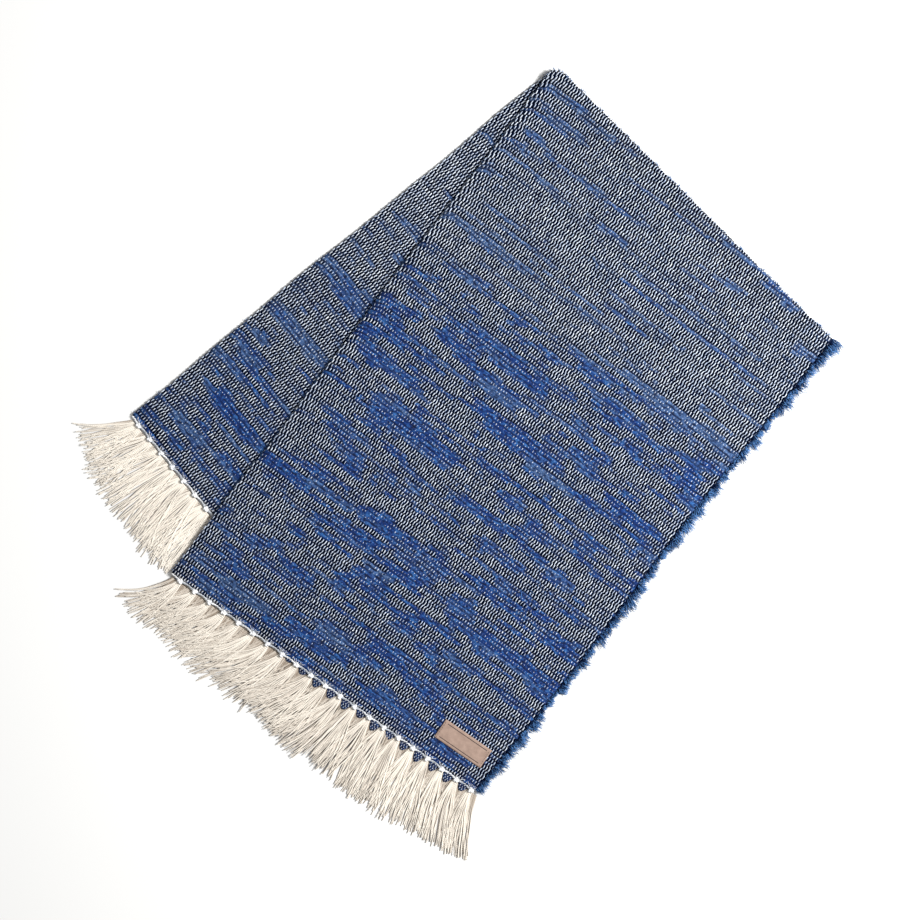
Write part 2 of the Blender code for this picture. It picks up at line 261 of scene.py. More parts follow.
def cloth_middle(across, along):
    """Places on the middle of the cloth's thickness."""
    across, along = (np.asarray(x, float) for x in np.broadcast_arrays(across, along))
    along = along + waver(across, along)
    fringe = between(FRINGE_LEFT, FRINGE_RIGHT, across)
    low = between(LOWER_LEFT, LOWER_RIGHT, across)
    upper_fold, _ = at_fold(across, np.full(across.shape, BEND_TOP))
    lower_fold, _ = at_fold(across, np.full(across.shape, BEND_LOW))
    upper_run = np.linalg.norm(upper_fold - fringe, axis=-1)
    lower_run = np.linalg.norm(lower_fold - low, axis=-1)
    bend_run = (BEND_TOP - BEND_LOW) / FOLD_WAY[0]
    at = along * (upper_run + bend_run + lower_run)

    on_upper = np.clip(at / upper_run, None, 1.0)
    upper = between(fringe, upper_fold, on_upper)
    upper[..., 0] += stray(1 - on_upper, across, 0.3)
    way = np.clip(BEND_TOP - (at - upper_run) * FOLD_WAY[0], BEND_LOW, BEND_TOP)
    round_it, height = at_fold(across, way)
    on_lower = np.clip((at - upper_run - bend_run) / lower_run, 0.0, None)
    lower = between(lower_fold, low, on_lower)
    lower[..., 0] += stray((1 - on_lower) * 0.9, across, 1.0) * smooth(8 * on_lower)

    is_upper, is_lower = at <= upper_run, at >= upper_run + bend_run
    plan = np.where(is_upper[..., None], upper, np.where(is_lower[..., None], lower, round_it))
    height = np.where(is_upper, THICK / 2 + lift(upper), np.where(is_lower, THICK / 2, height))
    return in_space(plan, height)


def cloth_at(across, along):
    """The cloth's middle, the unit normal of its face and the unit warp direction."""
    middle = cloth_middle(across, along)
    weft_way = cloth_middle(across + STEP_ACROSS, along) - cloth_middle(across - STEP_ACROSS, along)
    warp_way = cloth_middle(across, along + STEP_ALONG) - cloth_middle(across, along - STEP_ALONG)
    face = np.cross(weft_way, warp_way)
    face /= np.linalg.norm(face, axis=-1, keepdims=True)
    return middle, face, warp_way / np.linalg.norm(warp_way, axis=-1, keepdims=True)


def crest_along(across):
    """How far along the cloth its outermost line round the fold lies, at each place across."""
    tries = np.linspace(*CREST_TRIES)
    _, face, _ = cloth_at(*np.meshgrid(across, tries, indexing="ij"))
    return tries[np.abs(face[..., 2]).argmin(axis=1)]


crest = cloth_middle(np.array([0.5]), crest_along(np.array([0.5])))[0]
print("the fold's outermost line is", round(crest[2] * 1000, 1), "mm high")

# %% [markdown]
# ## Node trees as plain arithmetic
#
# Materials here follow the weave, so their nodes do a lot of arithmetic. Wiring Math nodes
# one by one hides what they say. One small class wraps a socket instead, so that an
# expression on it adds the nodes, and its node method adds any other kind of node. The same
# class builds the Geometry Nodes trees.

# %% A socket that can be reckoned with
class Link:
    """An output socket of a node tree, with Python's operators."""

    def __init__(self, tree, socket=None):
        self.tree, self.socket = tree, socket

    def node(self, kind, settings=(), inputs=(), output=0):
        """Adds a node: its settings come first, then the values or links of its sockets."""
        made = self.tree.nodes.new(kind)
        for name, value in dict(settings).items():
            if name == "stops":
                while len(made.color_ramp.elements) < len(value):
                    made.color_ramp.elements.new(0.5)
                for element, (place, colour) in zip(made.color_ramp.elements, value):
                    element.position, element.color = place, (*colour, 1)
            else:
                setattr(made, name, value)
        for key, value in dict(inputs).items():
            if isinstance(value, Link):
                self.tree.links.new(value.socket, made.inputs[key])
            else:
                made.inputs[key].default_value = value
        return Link(self.tree, made.outputs[output])

    def maths(self, operation, *values):
        return self.node("ShaderNodeMath", {"operation": operation}, enumerate(values))

    def __add__(self, other):
        return self.maths("ADD", self, other)

    def __sub__(self, other):
        return self.maths("SUBTRACT", self, other)

    def __rsub__(self, other):
        return self.maths("SUBTRACT", other, self)

    def __mul__(self, other):
        return self.maths("MULTIPLY", self, other)

    def __truediv__(self, other):
        return self.maths("DIVIDE", self, other)

    __radd__, __rmul__ = __add__, __mul__

    def step(self, low, high):
        """A soft step, from 0 at low to 1 at high."""
        inputs = {0: self, 1: low, 2: high}
        return self.node("ShaderNodeMapRange", {"interpolation_type": "SMOOTHSTEP"}, inputs)

    def fraction(self):
        return self.maths("FRACT", self)

    def size(self):
        """The value without its sign."""
        return self.maths("ABSOLUTE", self)

    def sine(self):
        return self.maths("SINE", self)

    def part(self, index):
        """One of the three parts of a vector."""
        return self.node("ShaderNodeSeparateXYZ", {}, {0: self}, index)

    def tint(self, low, high):
        """A colour between two colours, by this value."""
        return self.node("ShaderNodeMix", {"data_type": "RGBA"}, {0: self, 6: low, 7: high}, 2)

    def read(self, name, output="Fac"):
        """One of the piece's own attributes."""
        return self.node("ShaderNodeAttribute", {"attribute_name": name}, {}, output)

    def noise(self, scale, detail, roughness=0.5, vector=None):
        """Noise on a vector, or else on the piece's Object coordinates."""
        vector = vector or self.node("ShaderNodeTexCoord", {}, {}, "Object")
        inputs = {"Vector": vector, "Scale": scale, "Detail": detail, "Roughness": roughness}
        return self.node("ShaderNodeTexNoise", {}, inputs)


def start_material(name, roughness, gloss=0.25):
    """A new material, a Link into its tree and its Principled node."""
    material = bpy.data.materials.new(name)
    material.use_nodes = True
    shader = material.node_tree.nodes["Principled BSDF"]
    shader.inputs["Roughness"].default_value = roughness
    shader.inputs["Specular IOR Level"].default_value = gloss
    return material, Link(material.node_tree), shader


def finish_material(link, shader, colour, height, distance):
    """Joins a colour and a bump height to the Principled node."""
    link.tree.links.new(colour.socket, shader.inputs["Base Color"])
    bump = link.node("ShaderNodeBump", {}, {"Strength": 1.0, "Distance": distance, "Height": height})
    link.tree.links.new(bump.socket, shader.inputs["Normal"])


def srgb(red, green, blue):
    """A colour given as on screen, 0 to 255, as the linear colour that a node takes."""
    parts = [c / 255 for c in (red, green, blue)]
    linear = [c / 12.92 if c <= 0.04045 else ((c + 0.055) / 1.055) ** 2.4 for c in parts]
    return (*linear, 1)


print("half grey on screen is", round(srgb(128, 128, 128)[0], 3), "for a node")

# %% [markdown]
# ## The weft's slubs
#
# The weft is torn cloth strip, so it is uneven: where a strip is fat it hides the warp and
# shows as a blue dash or streak along its row, and where it is thin the row is all black and
# white threads. The strips are also of several blues: pale denim over the half near the fold
# and royal blue near both fringes. Two grids, one number for each row and each 4 mm of its
# length, hold how much a strip covers the warp and how deep its blue is. The same grids set
# the cloth's thickness, its colour and the size of every warp thread's float.

# %% Slubs, row by row
CELLS = 160                         # across the cloth, so under 4 mm each
BLUE_UNTIL, BLUE_UNTIL_OVER = 0.352, 0.012          # along the cloth, where deep blue ends
BLUE_FROM, BLUE_FROM_OVER, BLUE_AGAIN = 0.865, 0.06, 0.6    # where, and how much, it returns
COVER_KEPT, COVER_DRIFT = 0.4, 0.09         # of a row's cover, what the next keeps and its stray
DEEP_LEAST, DEEP_MORE, DEEP_DRIFT = 0.16, 0.66, 0.10        # depth of blue: pale, royal, stray

# Noise along a row: the run of cells over which it changes, and its height.
COVER_NOISES, DEEP_NOISE = ((16, 0.10), (3, 0.15)), (9, 0.12)
BLUE_NOISE, SLUB_NOISE = (40, 0.008), (2.5, 0.16)

# Of slubs: how half lengths spread and the least one, in cells, strengths, and shades of blue.
SLUB_SPREAD, SLUB_LEAST, SLUB_STRENGTH, SLUB_SHADE = 1.2, 0.8, (0.70, 1.16), 0.24
SLUB_SHIFT, SLUB_SOFT = 2.0, 2.5            # from one row to the next, and at its ends, in cells

# Of royal and of pale slubs: usual half length, what comes off the strength, rows to draw from.
ROYAL_SLUBS = (5.2, 0.00, (1, 1, 1, 1, 1, 2, 2, 3))
PALE_SLUBS = (8.0, 0.20, (1, 1, 1, 1, 2))

# Along the cloth, how many slubs start in ten rows, and how much of the warp is covered between.
SLUB_ZONES = (
    (0.000, 62, 0.33), (0.060, 57, 0.31), (0.150, 55, 0.30), (0.250, 51, 0.29), (0.320, 62, 0.32),
    (0.350, 68, 0.33), (0.362, 30, 0.22), (0.450, 24, 0.17), (0.520, 15, 0.14), (0.580, 8, 0.12),
    (0.700, 20, 0.18), (0.800, 38, 0.24), (0.870, 58, 0.29), (1.000, 64, 0.31),
)
rng = np.random.default_rng(38)


def soft_noise(count, run, height=1.0):
    """Smooth noise of about this spread that changes over this run of cells."""
    knots = rng.normal(0, 1, int(count / run) + 3)
    at = np.arange(count) / run + rng.uniform(0, 1)
    low = at.astype(int)
    return height * (knots[low] + (knots[low + 1] - knots[low]) * smooth(at - low))


def add_slub(cover, deep, row, at):
    """Writes one slub into the grids, over one to three rows from this one on."""
    spread, weaker, heights = ROYAL_SLUBS if at < BLUE_UNTIL or at > BLUE_FROM else PALE_SLUBS
    middle, half = rng.uniform(0, CELLS), rng.gamma(SLUB_SPREAD, spread) + SLUB_LEAST
    last = min(row + rng.choice(heights), PICKS)
    strength, shade = rng.uniform(*SLUB_STRENGTH) - weaker, rng.normal(0, SLUB_SHADE)
    for here in range(row, last):
        away = np.abs(np.arange(CELLS) + 0.5 - middle - rng.normal(0, SLUB_SHIFT))
        mask = smooth((half - away) / SLUB_SOFT + 0.5) * strength
        mask = mask * (1 + soft_noise(CELLS, *SLUB_NOISE))
        cover[here] = np.maximum(cover[here], mask)
        deep[here] += shade * mask


def weft_grids():
    """How much each row's strip covers the warp, and how deep its blue is, cell by cell."""
    cover, deep = np.zeros((PICKS, CELLS)), np.zeros((PICKS, CELLS))
    stops, starts, bases = zip(*SLUB_ZONES)
    drift = 0.0
    for row in range(PICKS):
        at = (row + 0.5) / PICKS
        drift = COVER_KEPT * drift + rng.normal(0, COVER_DRIFT)
        ground = np.interp(at, stops, bases) + drift
        for noise in COVER_NOISES:
            ground = ground + soft_noise(CELLS, *noise)
        cover[row] = np.maximum(cover[row], ground)
        blue = smooth((BLUE_UNTIL - at + soft_noise(CELLS, *BLUE_NOISE)) / BLUE_UNTIL_OVER + 0.5)
        blue = blue + BLUE_AGAIN * smooth((at - BLUE_FROM) / BLUE_FROM_OVER + 0.5)
        row_deep = DEEP_MORE * blue + DEEP_LEAST + rng.normal(0, DEEP_DRIFT)
        deep[row] += row_deep + soft_noise(CELLS, *DEEP_NOISE)
        for _ in range(rng.poisson(np.interp(at, stops, starts) / 10)):
            add_slub(cover, deep, row, at)
    return np.clip(cover, 0.02, 1), np.clip(deep, 0, 1)


WEFT_COVER, WEFT_DEEP = weft_grids()


def sample(grid, across, row):
    """A grid's value at these places across the cloth, in these rows."""
    at = np.clip(np.asarray(across) * CELLS - 0.5, 0, CELLS - 1.001)
    low = at.astype(int)
    row = np.clip(row, 0, PICKS - 1)
    return grid[row, low] + (grid[row, low + 1] - grid[row, low]) * (at - low)


print("rows covered by blue strip:", f"{(WEFT_COVER > 0.5).mean():.0%} of the cloth")

# %% [markdown]
# ## The ground cloth
#
# Each weft row is a rib, so the cloth is made as a closed sheet with three lines of points to
# a row, and its thickness swells at each rib and at each slub. A bump alone would look flat
# at the edges, where the real rug shows its ribs as a row of small bulges. The mesh carries
# a UV map in repeats of the weave, so that the material can draw threads exactly on the ribs.

# %% Build the ground cloth
LINES, COLUMNS = 3, 52              # points to a weft row, and squares across the cloth
HALF, RIB, SLUB = 0.00170, 0.00034, 0.00028     # half thickness between ribs, at one and at a slub
SELVEDGE = 0.0009                   # how far the ribs stand out of the neat edge
BACK_SHIFT = 1001                   # rows the back's pattern is moved by, odd to swap over and under


def fill(elements, key, values, kind=np.float32):
    """Sets one property of many elements at once, from an array."""
    elements.foreach_set(key, np.ascontiguousarray(values, kind).ravel())


def point_mesh(name, points):
    """A mesh of bare points."""
    mesh = bpy.data.meshes.new(name)
    mesh.vertices.add(len(points))
    fill(mesh.vertices, "co", points)
    return mesh


def plain_mesh(name, points, quads, material):
    """An object at the origin from arrays of points and four-sided faces."""
    mesh = point_mesh(name, points)
    mesh.loops.add(quads.size)
    fill(mesh.loops, "vertex_index", quads, np.int32)
    mesh.polygons.add(len(quads))
    fill(mesh.polygons, "loop_start", np.arange(0, quads.size, 4), np.int32)
    mesh.update(calc_edges=True)
    mesh.shade_smooth()
    mesh.materials.append(material)
    return add_object(name, mesh)


def ground_quads(rows, wide):
    """Faces of a closed sheet whose second half of points is the other side."""
    index = np.arange(rows * wide).reshape(rows, wide)
    face = np.stack([index[:-1, :-1], index[:-1, 1:], index[1:, 1:], index[1:, :-1]], -1)
    back = face[..., ::-1] + rows * wide
    rim = np.concatenate([index[0, :-1], index[:-1, -1], index[-1, :0:-1], index[:0:-1, 0]])
    after = np.roll(rim, -1)
    sides = np.stack([rim + rows * wide, after + rows * wide, after, rim], -1)
    return np.concatenate([face.reshape(-1, 4), back.reshape(-1, 4), sides])


def add_uv(mesh, name, uv):
    """Gives a mesh a UV map with one place for each point."""
    corners = np.empty(len(mesh.loops), np.int32)
    mesh.loops.foreach_get("vertex_index", corners)
    fill(mesh.uv_layers.new(name=name).data, "uv", uv[corners])


def dress_cloth(mesh, uv, weft):
    """Gives cloth its weave map and, at each point, its strip's cover and depth of blue."""
    add_uv(mesh, "weave", uv)
    fill(mesh.color_attributes.new("weft", "FLOAT_COLOR", "POINT").data, "color", weft)


def make_ground(material):
    """The whole folded cloth as one closed sheet, a rib to each weft row."""
    rows, wide = PICKS * LINES + 1, COLUMNS + 1
    along, across = np.meshgrid(np.linspace(0, 1, rows), np.linspace(0, 1, wide), indexing="ij")
    row = np.minimum((along * PICKS).astype(int), PICKS - 1)
    middle, face, _ = cloth_at(across, along)
    rib = 0.5 - 0.5 * np.cos(2 * math.pi * PICKS * along)
    cover = sample(WEFT_COVER, across, row)
    half = (HALF + RIB * rib + SLUB * cover * rib)[..., None]
    edge = np.where(across == 0, SELVEDGE * rib, 0)[..., None]
    weft_way = unit(FRINGE_RIGHT - FRINGE_LEFT)
    middle = middle - edge * np.array((weft_way[0], weft_way[1], 0))
    points = np.concatenate([(middle + side * face * half).reshape(-1, 3) for side in (1, -1)])
    ground = plain_mesh("rug_ground", points, ground_quads(rows, wide), material)

    uv = np.stack([across * REPEATS, along * PICKS], -1).reshape(-1, 2)
    deep = sample(WEFT_DEEP, across, row)
    weft = np.stack([cover, deep, np.zeros_like(cover), np.ones_like(cover)], -1).reshape(-1, 4)
    dress_cloth(ground.data, np.concatenate([uv, uv + (0, BACK_SHIFT)]), np.concatenate([weft, weft]))
    return ground


# %% [markdown]
# ### The ground's finish
#
# The material draws what the ribs carry. The strip's blue runs from pale denim to royal blue
# and is mottled along its length, like torn dyed cloth. White and black warp threads cross
# every rib in turn, and in every second row they lie a third of a repeat further on. They are
# wide where the strip is thin and shrink to dots where it is fat. The valleys between ribs get
# painted shade, and where the strip is thin the gaps between warp threads are painted near
# black, partly for black warp and partly as painted shade.

# %% Ground material
WHITE, BLACK = srgb(214, 220, 228), srgb(5, 10, 26)
PALE, ROYAL = srgb(52, 80, 124), srgb(2, 43, 108)
LIGHT_PALE, LIGHT_ROYAL = srgb(92, 118, 156), srgb(54, 106, 164)
# Navy for the painted shade in the valleys and gaps, and for the strip's own dark strands.
SHADOW = srgb(4, 15, 44)
WHITE_CENTRES, BLACK_CENTRES = (0.085, 0.415), (0.585, 0.915)   # in a repeat, even and odd rows
MOTTLE_STRETCH, PATCHES, STRIP_STRANDS = (0.30, 1.0, 1.0), 0.8, 1.9   # across, along; scales
DASH_HALF, DASH_THINNER, DASH_BROKEN = 0.14, 0.03, 0.14     # in repeats: at no cover, less at full
DASH_REACH, DASH_SHORTER = 0.46, 0.24                       # the same along the warp, in rows
BLACK_WIDER, BLACK_HIDDEN, SOFT = 1.5, 0.35, 0.05           # against white, under cover, edges
WEAVE_RELIEF = 0.0006


def rag_colour(link, weave, cover, deep, valley):
    """The mottled blue of the torn strip, with painted shade in the valleys, and near black where the
    warp hides it, partly as black warp and partly as painted shade.
    """
    place = link.node("ShaderNodeMapping", {}, {"Vector": weave, "Scale": MOTTLE_STRETCH})
    patch = link.noise(PATCHES, 2.0, vector=place)
    strand = link.noise(STRIP_STRANDS, 3.0, 0.7, place)
    shade = (deep + (patch - 0.5) * 1.2).step(0.0, 1.0)
    blue = shade.tint(PALE, ROYAL)
    light = (strand + (patch - 0.5) * 0.8).step(0.46, 0.72)
    blue = (light * 0.62).tint(blue, shade.tint(LIGHT_PALE, LIGHT_ROYAL))
    # Painted shade in the valleys between ribs and, where the strip is thin, between warp threads
    # (partly black warp); the dark strands are the strip's own mottle.
    dark = (0.61 - strand) * 3.1 + (1 - cover) * 0.55 + valley * valley * 0.42
    return dark.step(0.12, 1.05).tint(blue, SHADOW), strand


def ground_material():
    """The strip's blue with the white and black warp drawn over it, rib by rib."""
    material, link, shader = start_material("rag and warp", 0.92)
    weave = link.node("ShaderNodeUVMap", {"uv_map": "weave"})
    repeat, pick = weave.part(0), weave.part(1)
    weft = link.read("weft", "Color")
    cover, deep = (link.node("ShaderNodeSeparateColor", {}, {0: weft}, part) for part in (0, 1))

    row_of_two = (pick / 2).fraction() * 2
    shift = row_of_two.maths("FLOOR", row_of_two) * (WHITE_CENTRES[1] - WHITE_CENTRES[0])
    from_white = ((repeat + (0.5 - WHITE_CENTRES[0]) - shift).fraction() - 0.5).size()
    from_black = 0.5 - from_white
    from_crest = (pick.fraction() - 0.5).size()
    broken = (link.noise(1.9, 1.0, vector=weave) - 0.33).step(0.0, 0.25)
    wide = DASH_HALF - cover * DASH_THINNER - broken * cover * DASH_BROKEN
    reach = DASH_REACH - cover * DASH_SHORTER
    on_rib = 1 - (from_crest - reach).step(-0.08, 0.04)
    white = (1 - (from_white - wide).step(-SOFT, SOFT)) * on_rib
    black = 1 - (from_black - wide * BLACK_WIDER).step(-SOFT, SOFT)
    black = black * on_rib * (1 - cover * BLACK_HIDDEN)

    blue, fibre = rag_colour(link, weave, cover, deep, from_crest * 2)
    colour = white.tint(black.tint(blue, BLACK), WHITE)
    height = (1 - from_crest * 2) * 0.6 + white * 0.5 + black * 0.4 + fibre * 0.25
    finish_material(link, shader, colour, height, WEAVE_RELIEF)
    return material


ground = make_ground(ground_material())
print(ground.name, "has", len(ground.data.polygons), "squares")

# %% [markdown]
# ## Geometry Nodes that repeat a small piece
#
# A rug has tens of thousands of thread floats and thousands of loose fibres. They are the
# same small shape over and over, so one Geometry Nodes tree sets a given shape on each point
# of a cloud. Each point carries its own size and turn as attributes. The tree ends by making
# the instances real and giving them their material, because only real faces are exported.

# %% The scatter tree
def start_tree(name, inputs):
    """A Geometry Nodes tree, with named inputs, and Links to each of them."""
    tree = bpy.data.node_groups.new(name, "GeometryNodeTree")
    tree.interface.new_socket("Geometry", in_out="OUTPUT", socket_type="NodeSocketGeometry")
    for label, kind in inputs:
        tree.interface.new_socket(label, in_out="INPUT", socket_type=kind)
    given = tree.nodes.new("NodeGroupInput")
    return tree, Link(tree), {label: Link(tree, given.outputs[label]) for label, _ in inputs}


def end_tree(link, geometry, finish):
    """Makes instances real, sets the material and leads to the output."""
    real = link.node("GeometryNodeRealizeInstances", {}, {"Geometry": geometry})
    finished = link.node("GeometryNodeSetMaterial", {}, {"Geometry": real, "Material": finish})
    out = link.tree.nodes.new("NodeGroupOutput")
    link.tree.links.new(finished.socket, out.inputs[0])


def attribute(link, name, kind):
    """A value that the points carry."""
    return link.node("GeometryNodeInputNamedAttribute", {"data_type": kind}, {"Name": name})


def scatter_tree():
    """Sets one shape on every point, by the point's own size and turn."""
    tree, link, given = start_tree("set a piece on each point", (
        ("Points", "NodeSocketGeometry"),
        ("Piece", "NodeSocketObject"),
        ("Finish", "NodeSocketMaterial"),
    ))
    piece = link.node("GeometryNodeObjectInfo", {}, {"Object": given["Piece"]}, "Geometry")
    turn = link.node("FunctionNodeEulerToRotation", {}, {0: attribute(link, "turn", "FLOAT_VECTOR")})
    placed = link.node("GeometryNodeInstanceOnPoints", {}, {
        "Points": given["Points"], "Instance": piece, "Rotation": turn,
        "Scale": attribute(link, "size", "FLOAT_VECTOR"),
    })
    end_tree(link, placed, given["Finish"])
    return tree


SCATTER = scatter_tree()


def run_tree(source, tree, values, name):
    """Runs a tree on an object and keeps the result as a plain mesh of its own."""
    modifier = source.modifiers.new("tree", "NODES")
    modifier.node_group = tree
    items = tree.interface.items_tree
    sockets = {item.name: item.identifier for item in items if item.in_out == "INPUT"}
    for label, value in values.items():
        modifier[sockets[label]] = value
    graph = bpy.context.evaluated_depsgraph_get()
    mesh = bpy.data.meshes.new_from_object(source.evaluated_get(graph))
    mesh.name = name
    mesh.shade_smooth()
    for spent in {"turn", "size", "thick"} & set(mesh.attributes.keys()):
        mesh.attributes.remove(mesh.attributes[spent])
    made = add_object(name, mesh)
    bpy.data.objects.remove(source)
    return made


def turns(ways, ups):
    """The Euler turns that bring X to each way and Z near each up."""
    ways = ways / np.linalg.norm(ways, axis=-1, keepdims=True)
    sides = np.cross(ups, ways)
    sides /= np.linalg.norm(sides, axis=-1, keepdims=True)
    tops = np.cross(ways, sides)
    heading = np.arctan2(ways[:, 1], ways[:, 0])
    pitch = -np.arcsin(np.clip(ways[:, 2], -1, 1))
    roll = np.arctan2(sides[:, 2], tops[:, 2])
    return np.stack([roll, pitch, heading], -1)


def give(mesh, label, values):
    """Gives each point of a mesh a number or a vector of its own."""
    kind, key = ("FLOAT_VECTOR", "vector") if values.ndim == 2 else ("FLOAT", "value")
    fill(mesh.attributes.new(label, kind, "POINT").data, key, values)


def scatter(name, piece, points, sizes, ways, ups, material, tone):
    """Sets a piece on every point, its X along ways and its Z near ups."""
    mesh = point_mesh("points", points)
    for label, values in (("size", sizes), ("turn", turns(ways, ups)), ("tone", tone)):
        give(mesh, label, values)
    return run_tree(add_object("points", mesh), SCATTER, {"Piece": piece, "Finish": material}, name)


# %% [markdown]
# ## The warp's floats
#
# Where a warp thread passes over a weft row it shows as a short fat dash, a float. Two white
# threads and two black ones take turns, and in plain weave every second thread is on top, so
# a row shows white, black, white, black, and the next row the same, a third of a repeat further
# on. That makes the fine zigzags of the real cloth. A float is a closed sliver with a raised
# back, a ridge on the white ones and a flat top on the wider black ones. Only what can be seen
# gets floats: the upper layer, the fold and the lower layer's wedge. Between the layers and
# underneath, the ground's own pattern stands for them.

# %% The float's shape
def closed_mesh(name, points, faces):
    """A small mesh from lists of points and faces."""
    mesh = bpy.data.meshes.new(name)
    mesh.from_pydata(points, [], faces)
    mesh.update()
    return mesh


def float_mesh(name, flat=0.0):
    """A barrel along X, bowed to one side, flat below, with a ridge or a flat top this wide."""
    low, high, ends, middle = -0.5, 0.5, 0.20, -0.12
    rim = [
        (low, ends - 0.40, -0.5), (0, middle - 0.5, -0.2), (high, ends - 0.40, -0.5),
        (high, ends + 0.40, -0.5), (0, middle + 0.5, -0.2), (low, ends + 0.40, -0.5),
    ]
    below, near = [(5, 4, 3, 2, 1, 0)], [(0, 1, 6), (1, 7, 6), (1, 2, 7)]
    if flat:
        side = flat / 2
        crown = [(-0.32, -side, high), (0.32, -side, high), (0.32, side, high), (-0.32, side, high)]
        far = [(2, 3, 8, 7), (3, 4, 8), (4, 9, 8), (4, 5, 9), (5, 0, 6, 9), (6, 7, 8, 9)]
    else:
        crown = [(-0.32, 0, high), (0.32, 0, high)]
        far = [(2, 3, 7), (3, 4, 7), (4, 6, 7), (4, 5, 6), (5, 0, 6)]
    return closed_mesh(name, rim + crown, near + far + below)


WHITE_FLOAT = add_object("white_float_shape", float_mesh("white float"))
BLACK_FLOAT = add_object("black_float_shape", float_mesh("black float", 0.46))

# %% Place the floats
FLOAT_LONG, FLOAT_HIGH = 0.0084, 0.0010
WHITE_WIDE, BLACK_WIDE = 0.00145, 0.0034
WHITE_DROP, BLACK_DROP, DROP_OVER = 0.70, 0.46, 0.3     # the cover from which floats drop out
LESS_LONG, LESS_WIDE, LESS_HIGH = 0.60, 0.45, 0.3       # what full cover takes off a float
FLOAT_STRAY, FLOAT_LEAN = 0.05, 0.10                    # in repeats or rows, and as a slope
FLOAT_STAND = 0.0002                # how far a float's middle stands over its rib
FACES_DOWN = -0.25                  # a face's upward part, below which it is hidden underneath
WEDGE_END = 0.004                   # how far into the upper layer the wedge's floats run
BARE_ENDS = 1.6 / PICKS             # no white floats this near the fringes


def seen_places(centres, on_face):
    """Places across and along of one colour's floats, on the cloth's face or on its back."""
    places = np.meshgrid(np.arange(PICKS), np.arange(REPEATS), indexing="ij")
    row, repeat = (x.ravel() for x in places)
    centre = np.where((row + (not on_face)) % 2 == 0, centres[0], centres[1])
    across, along = (repeat + centre) / REPEATS, (row + 0.5) / PICKS
    middle, face, _ = cloth_at(across, along)
    if on_face:
        keep = face[:, 2] > FACES_DOWN
    else:
        keep = (face[:, 2] < FACES_DOWN) & (middle[:, 0] - PLACE[0] < WEDGE_END)
    return across[keep], along[keep]


def make_floats(name, shape, centres, wide, drop, bare_ends, on_face, material):
    """One colour's floats on one face of the cloth, smaller where the strip is fat."""
    across, along = seen_places(centres, on_face)
    row = (along * PICKS).astype(int)
    cover = sample(WEFT_COVER, across, row)
    shown = cover < rng.uniform(drop, drop + DROP_OVER, len(cover))
    shown = shown & (along > bare_ends) & (along < 1 - bare_ends)
    across, along, cover, row = across[shown], along[shown], cover[shown], row[shown]
    bow_side = np.where((row + (not on_face)) % 2 == 0, -1, 1)[:, None]
    count = len(across)
    across = across + rng.normal(0, FLOAT_STRAY, count) / REPEATS
    along = along + rng.normal(0, FLOAT_STRAY, count) / PICKS
    middle, face, warp = cloth_at(across, along)
    up = face if on_face else -face
    half = HALF + RIB + SLUB * cover
    lean = np.cross(up, warp) * rng.normal(0, FLOAT_LEAN, count)[:, None]
    squeeze = smooth((cover - 0.05) / 0.75)
    sizes = np.stack([
        FLOAT_LONG * (1 - LESS_LONG * squeeze) * rng.uniform(0.78, 1.10, count),
        wide * (1 - LESS_WIDE * squeeze) * rng.uniform(0.80, 1.18, count),
        FLOAT_HIGH * (1 - LESS_HIGH * squeeze),
    ], -1)
    points = middle + up * (half + FLOAT_STAND)[:, None]
    tone = rng.uniform(0, 1, count)
    return scatter(name, shape, points, sizes, (warp + lean) * bow_side, up, material, tone)


# %% The floats' finish
def cotton_material(name, light, dark, gloss=0.25):
    """Plain spun cotton, each thread a little lighter or darker than the next; a fibre also gets
    painted shade at its root.
    """
    material, link, shader = start_material(name, 0.92, gloss)
    fibre = link.noise(900.0, 2.0)
    # reach darkens a fibre towards its root as painted shade; pieces without it read nothing there.
    colour = (link.read("tone") * 0.6 + fibre * 0.5 + link.read("reach")).tint(dark, light)
    finish_material(link, shader, colour, fibre, 0.0004)
    return material


WHITE_COTTON = cotton_material("white warp", srgb(242, 249, 255), srgb(150, 170, 204))
BLACK_COTTON = cotton_material("black warp", srgb(4, 12, 34), srgb(0, 2, 12), 0.0)
floats = [
    make_floats(f"warp_floats_{colour}_{layer}", shape, centres, wide, drop, ends, on_face, cotton)
    for colour, shape, centres, wide, drop, ends, cotton in (
        ("white", WHITE_FLOAT, WHITE_CENTRES, WHITE_WIDE, WHITE_DROP, BARE_ENDS, WHITE_COTTON),
        ("black", BLACK_FLOAT, BLACK_CENTRES, BLACK_WIDE, BLACK_DROP, 0.0, BLACK_COTTON),
    )
    for layer, on_face in (("upper", True), ("lower", False))
]
for piece in floats:
    print(piece.name, "has", len(piece.data.polygons), "faces")

# %% [markdown]
# ## Threads swept along lines
#
# The fringe, its knots, the twined cord over them and the white fans that feed them are all
# round threads on different lines. So another tree sweeps a small ring along every line of a
# mesh of edges. It writes how far along the thread each point is, and where on the ring, so
# that the material can twist two plies round each other.

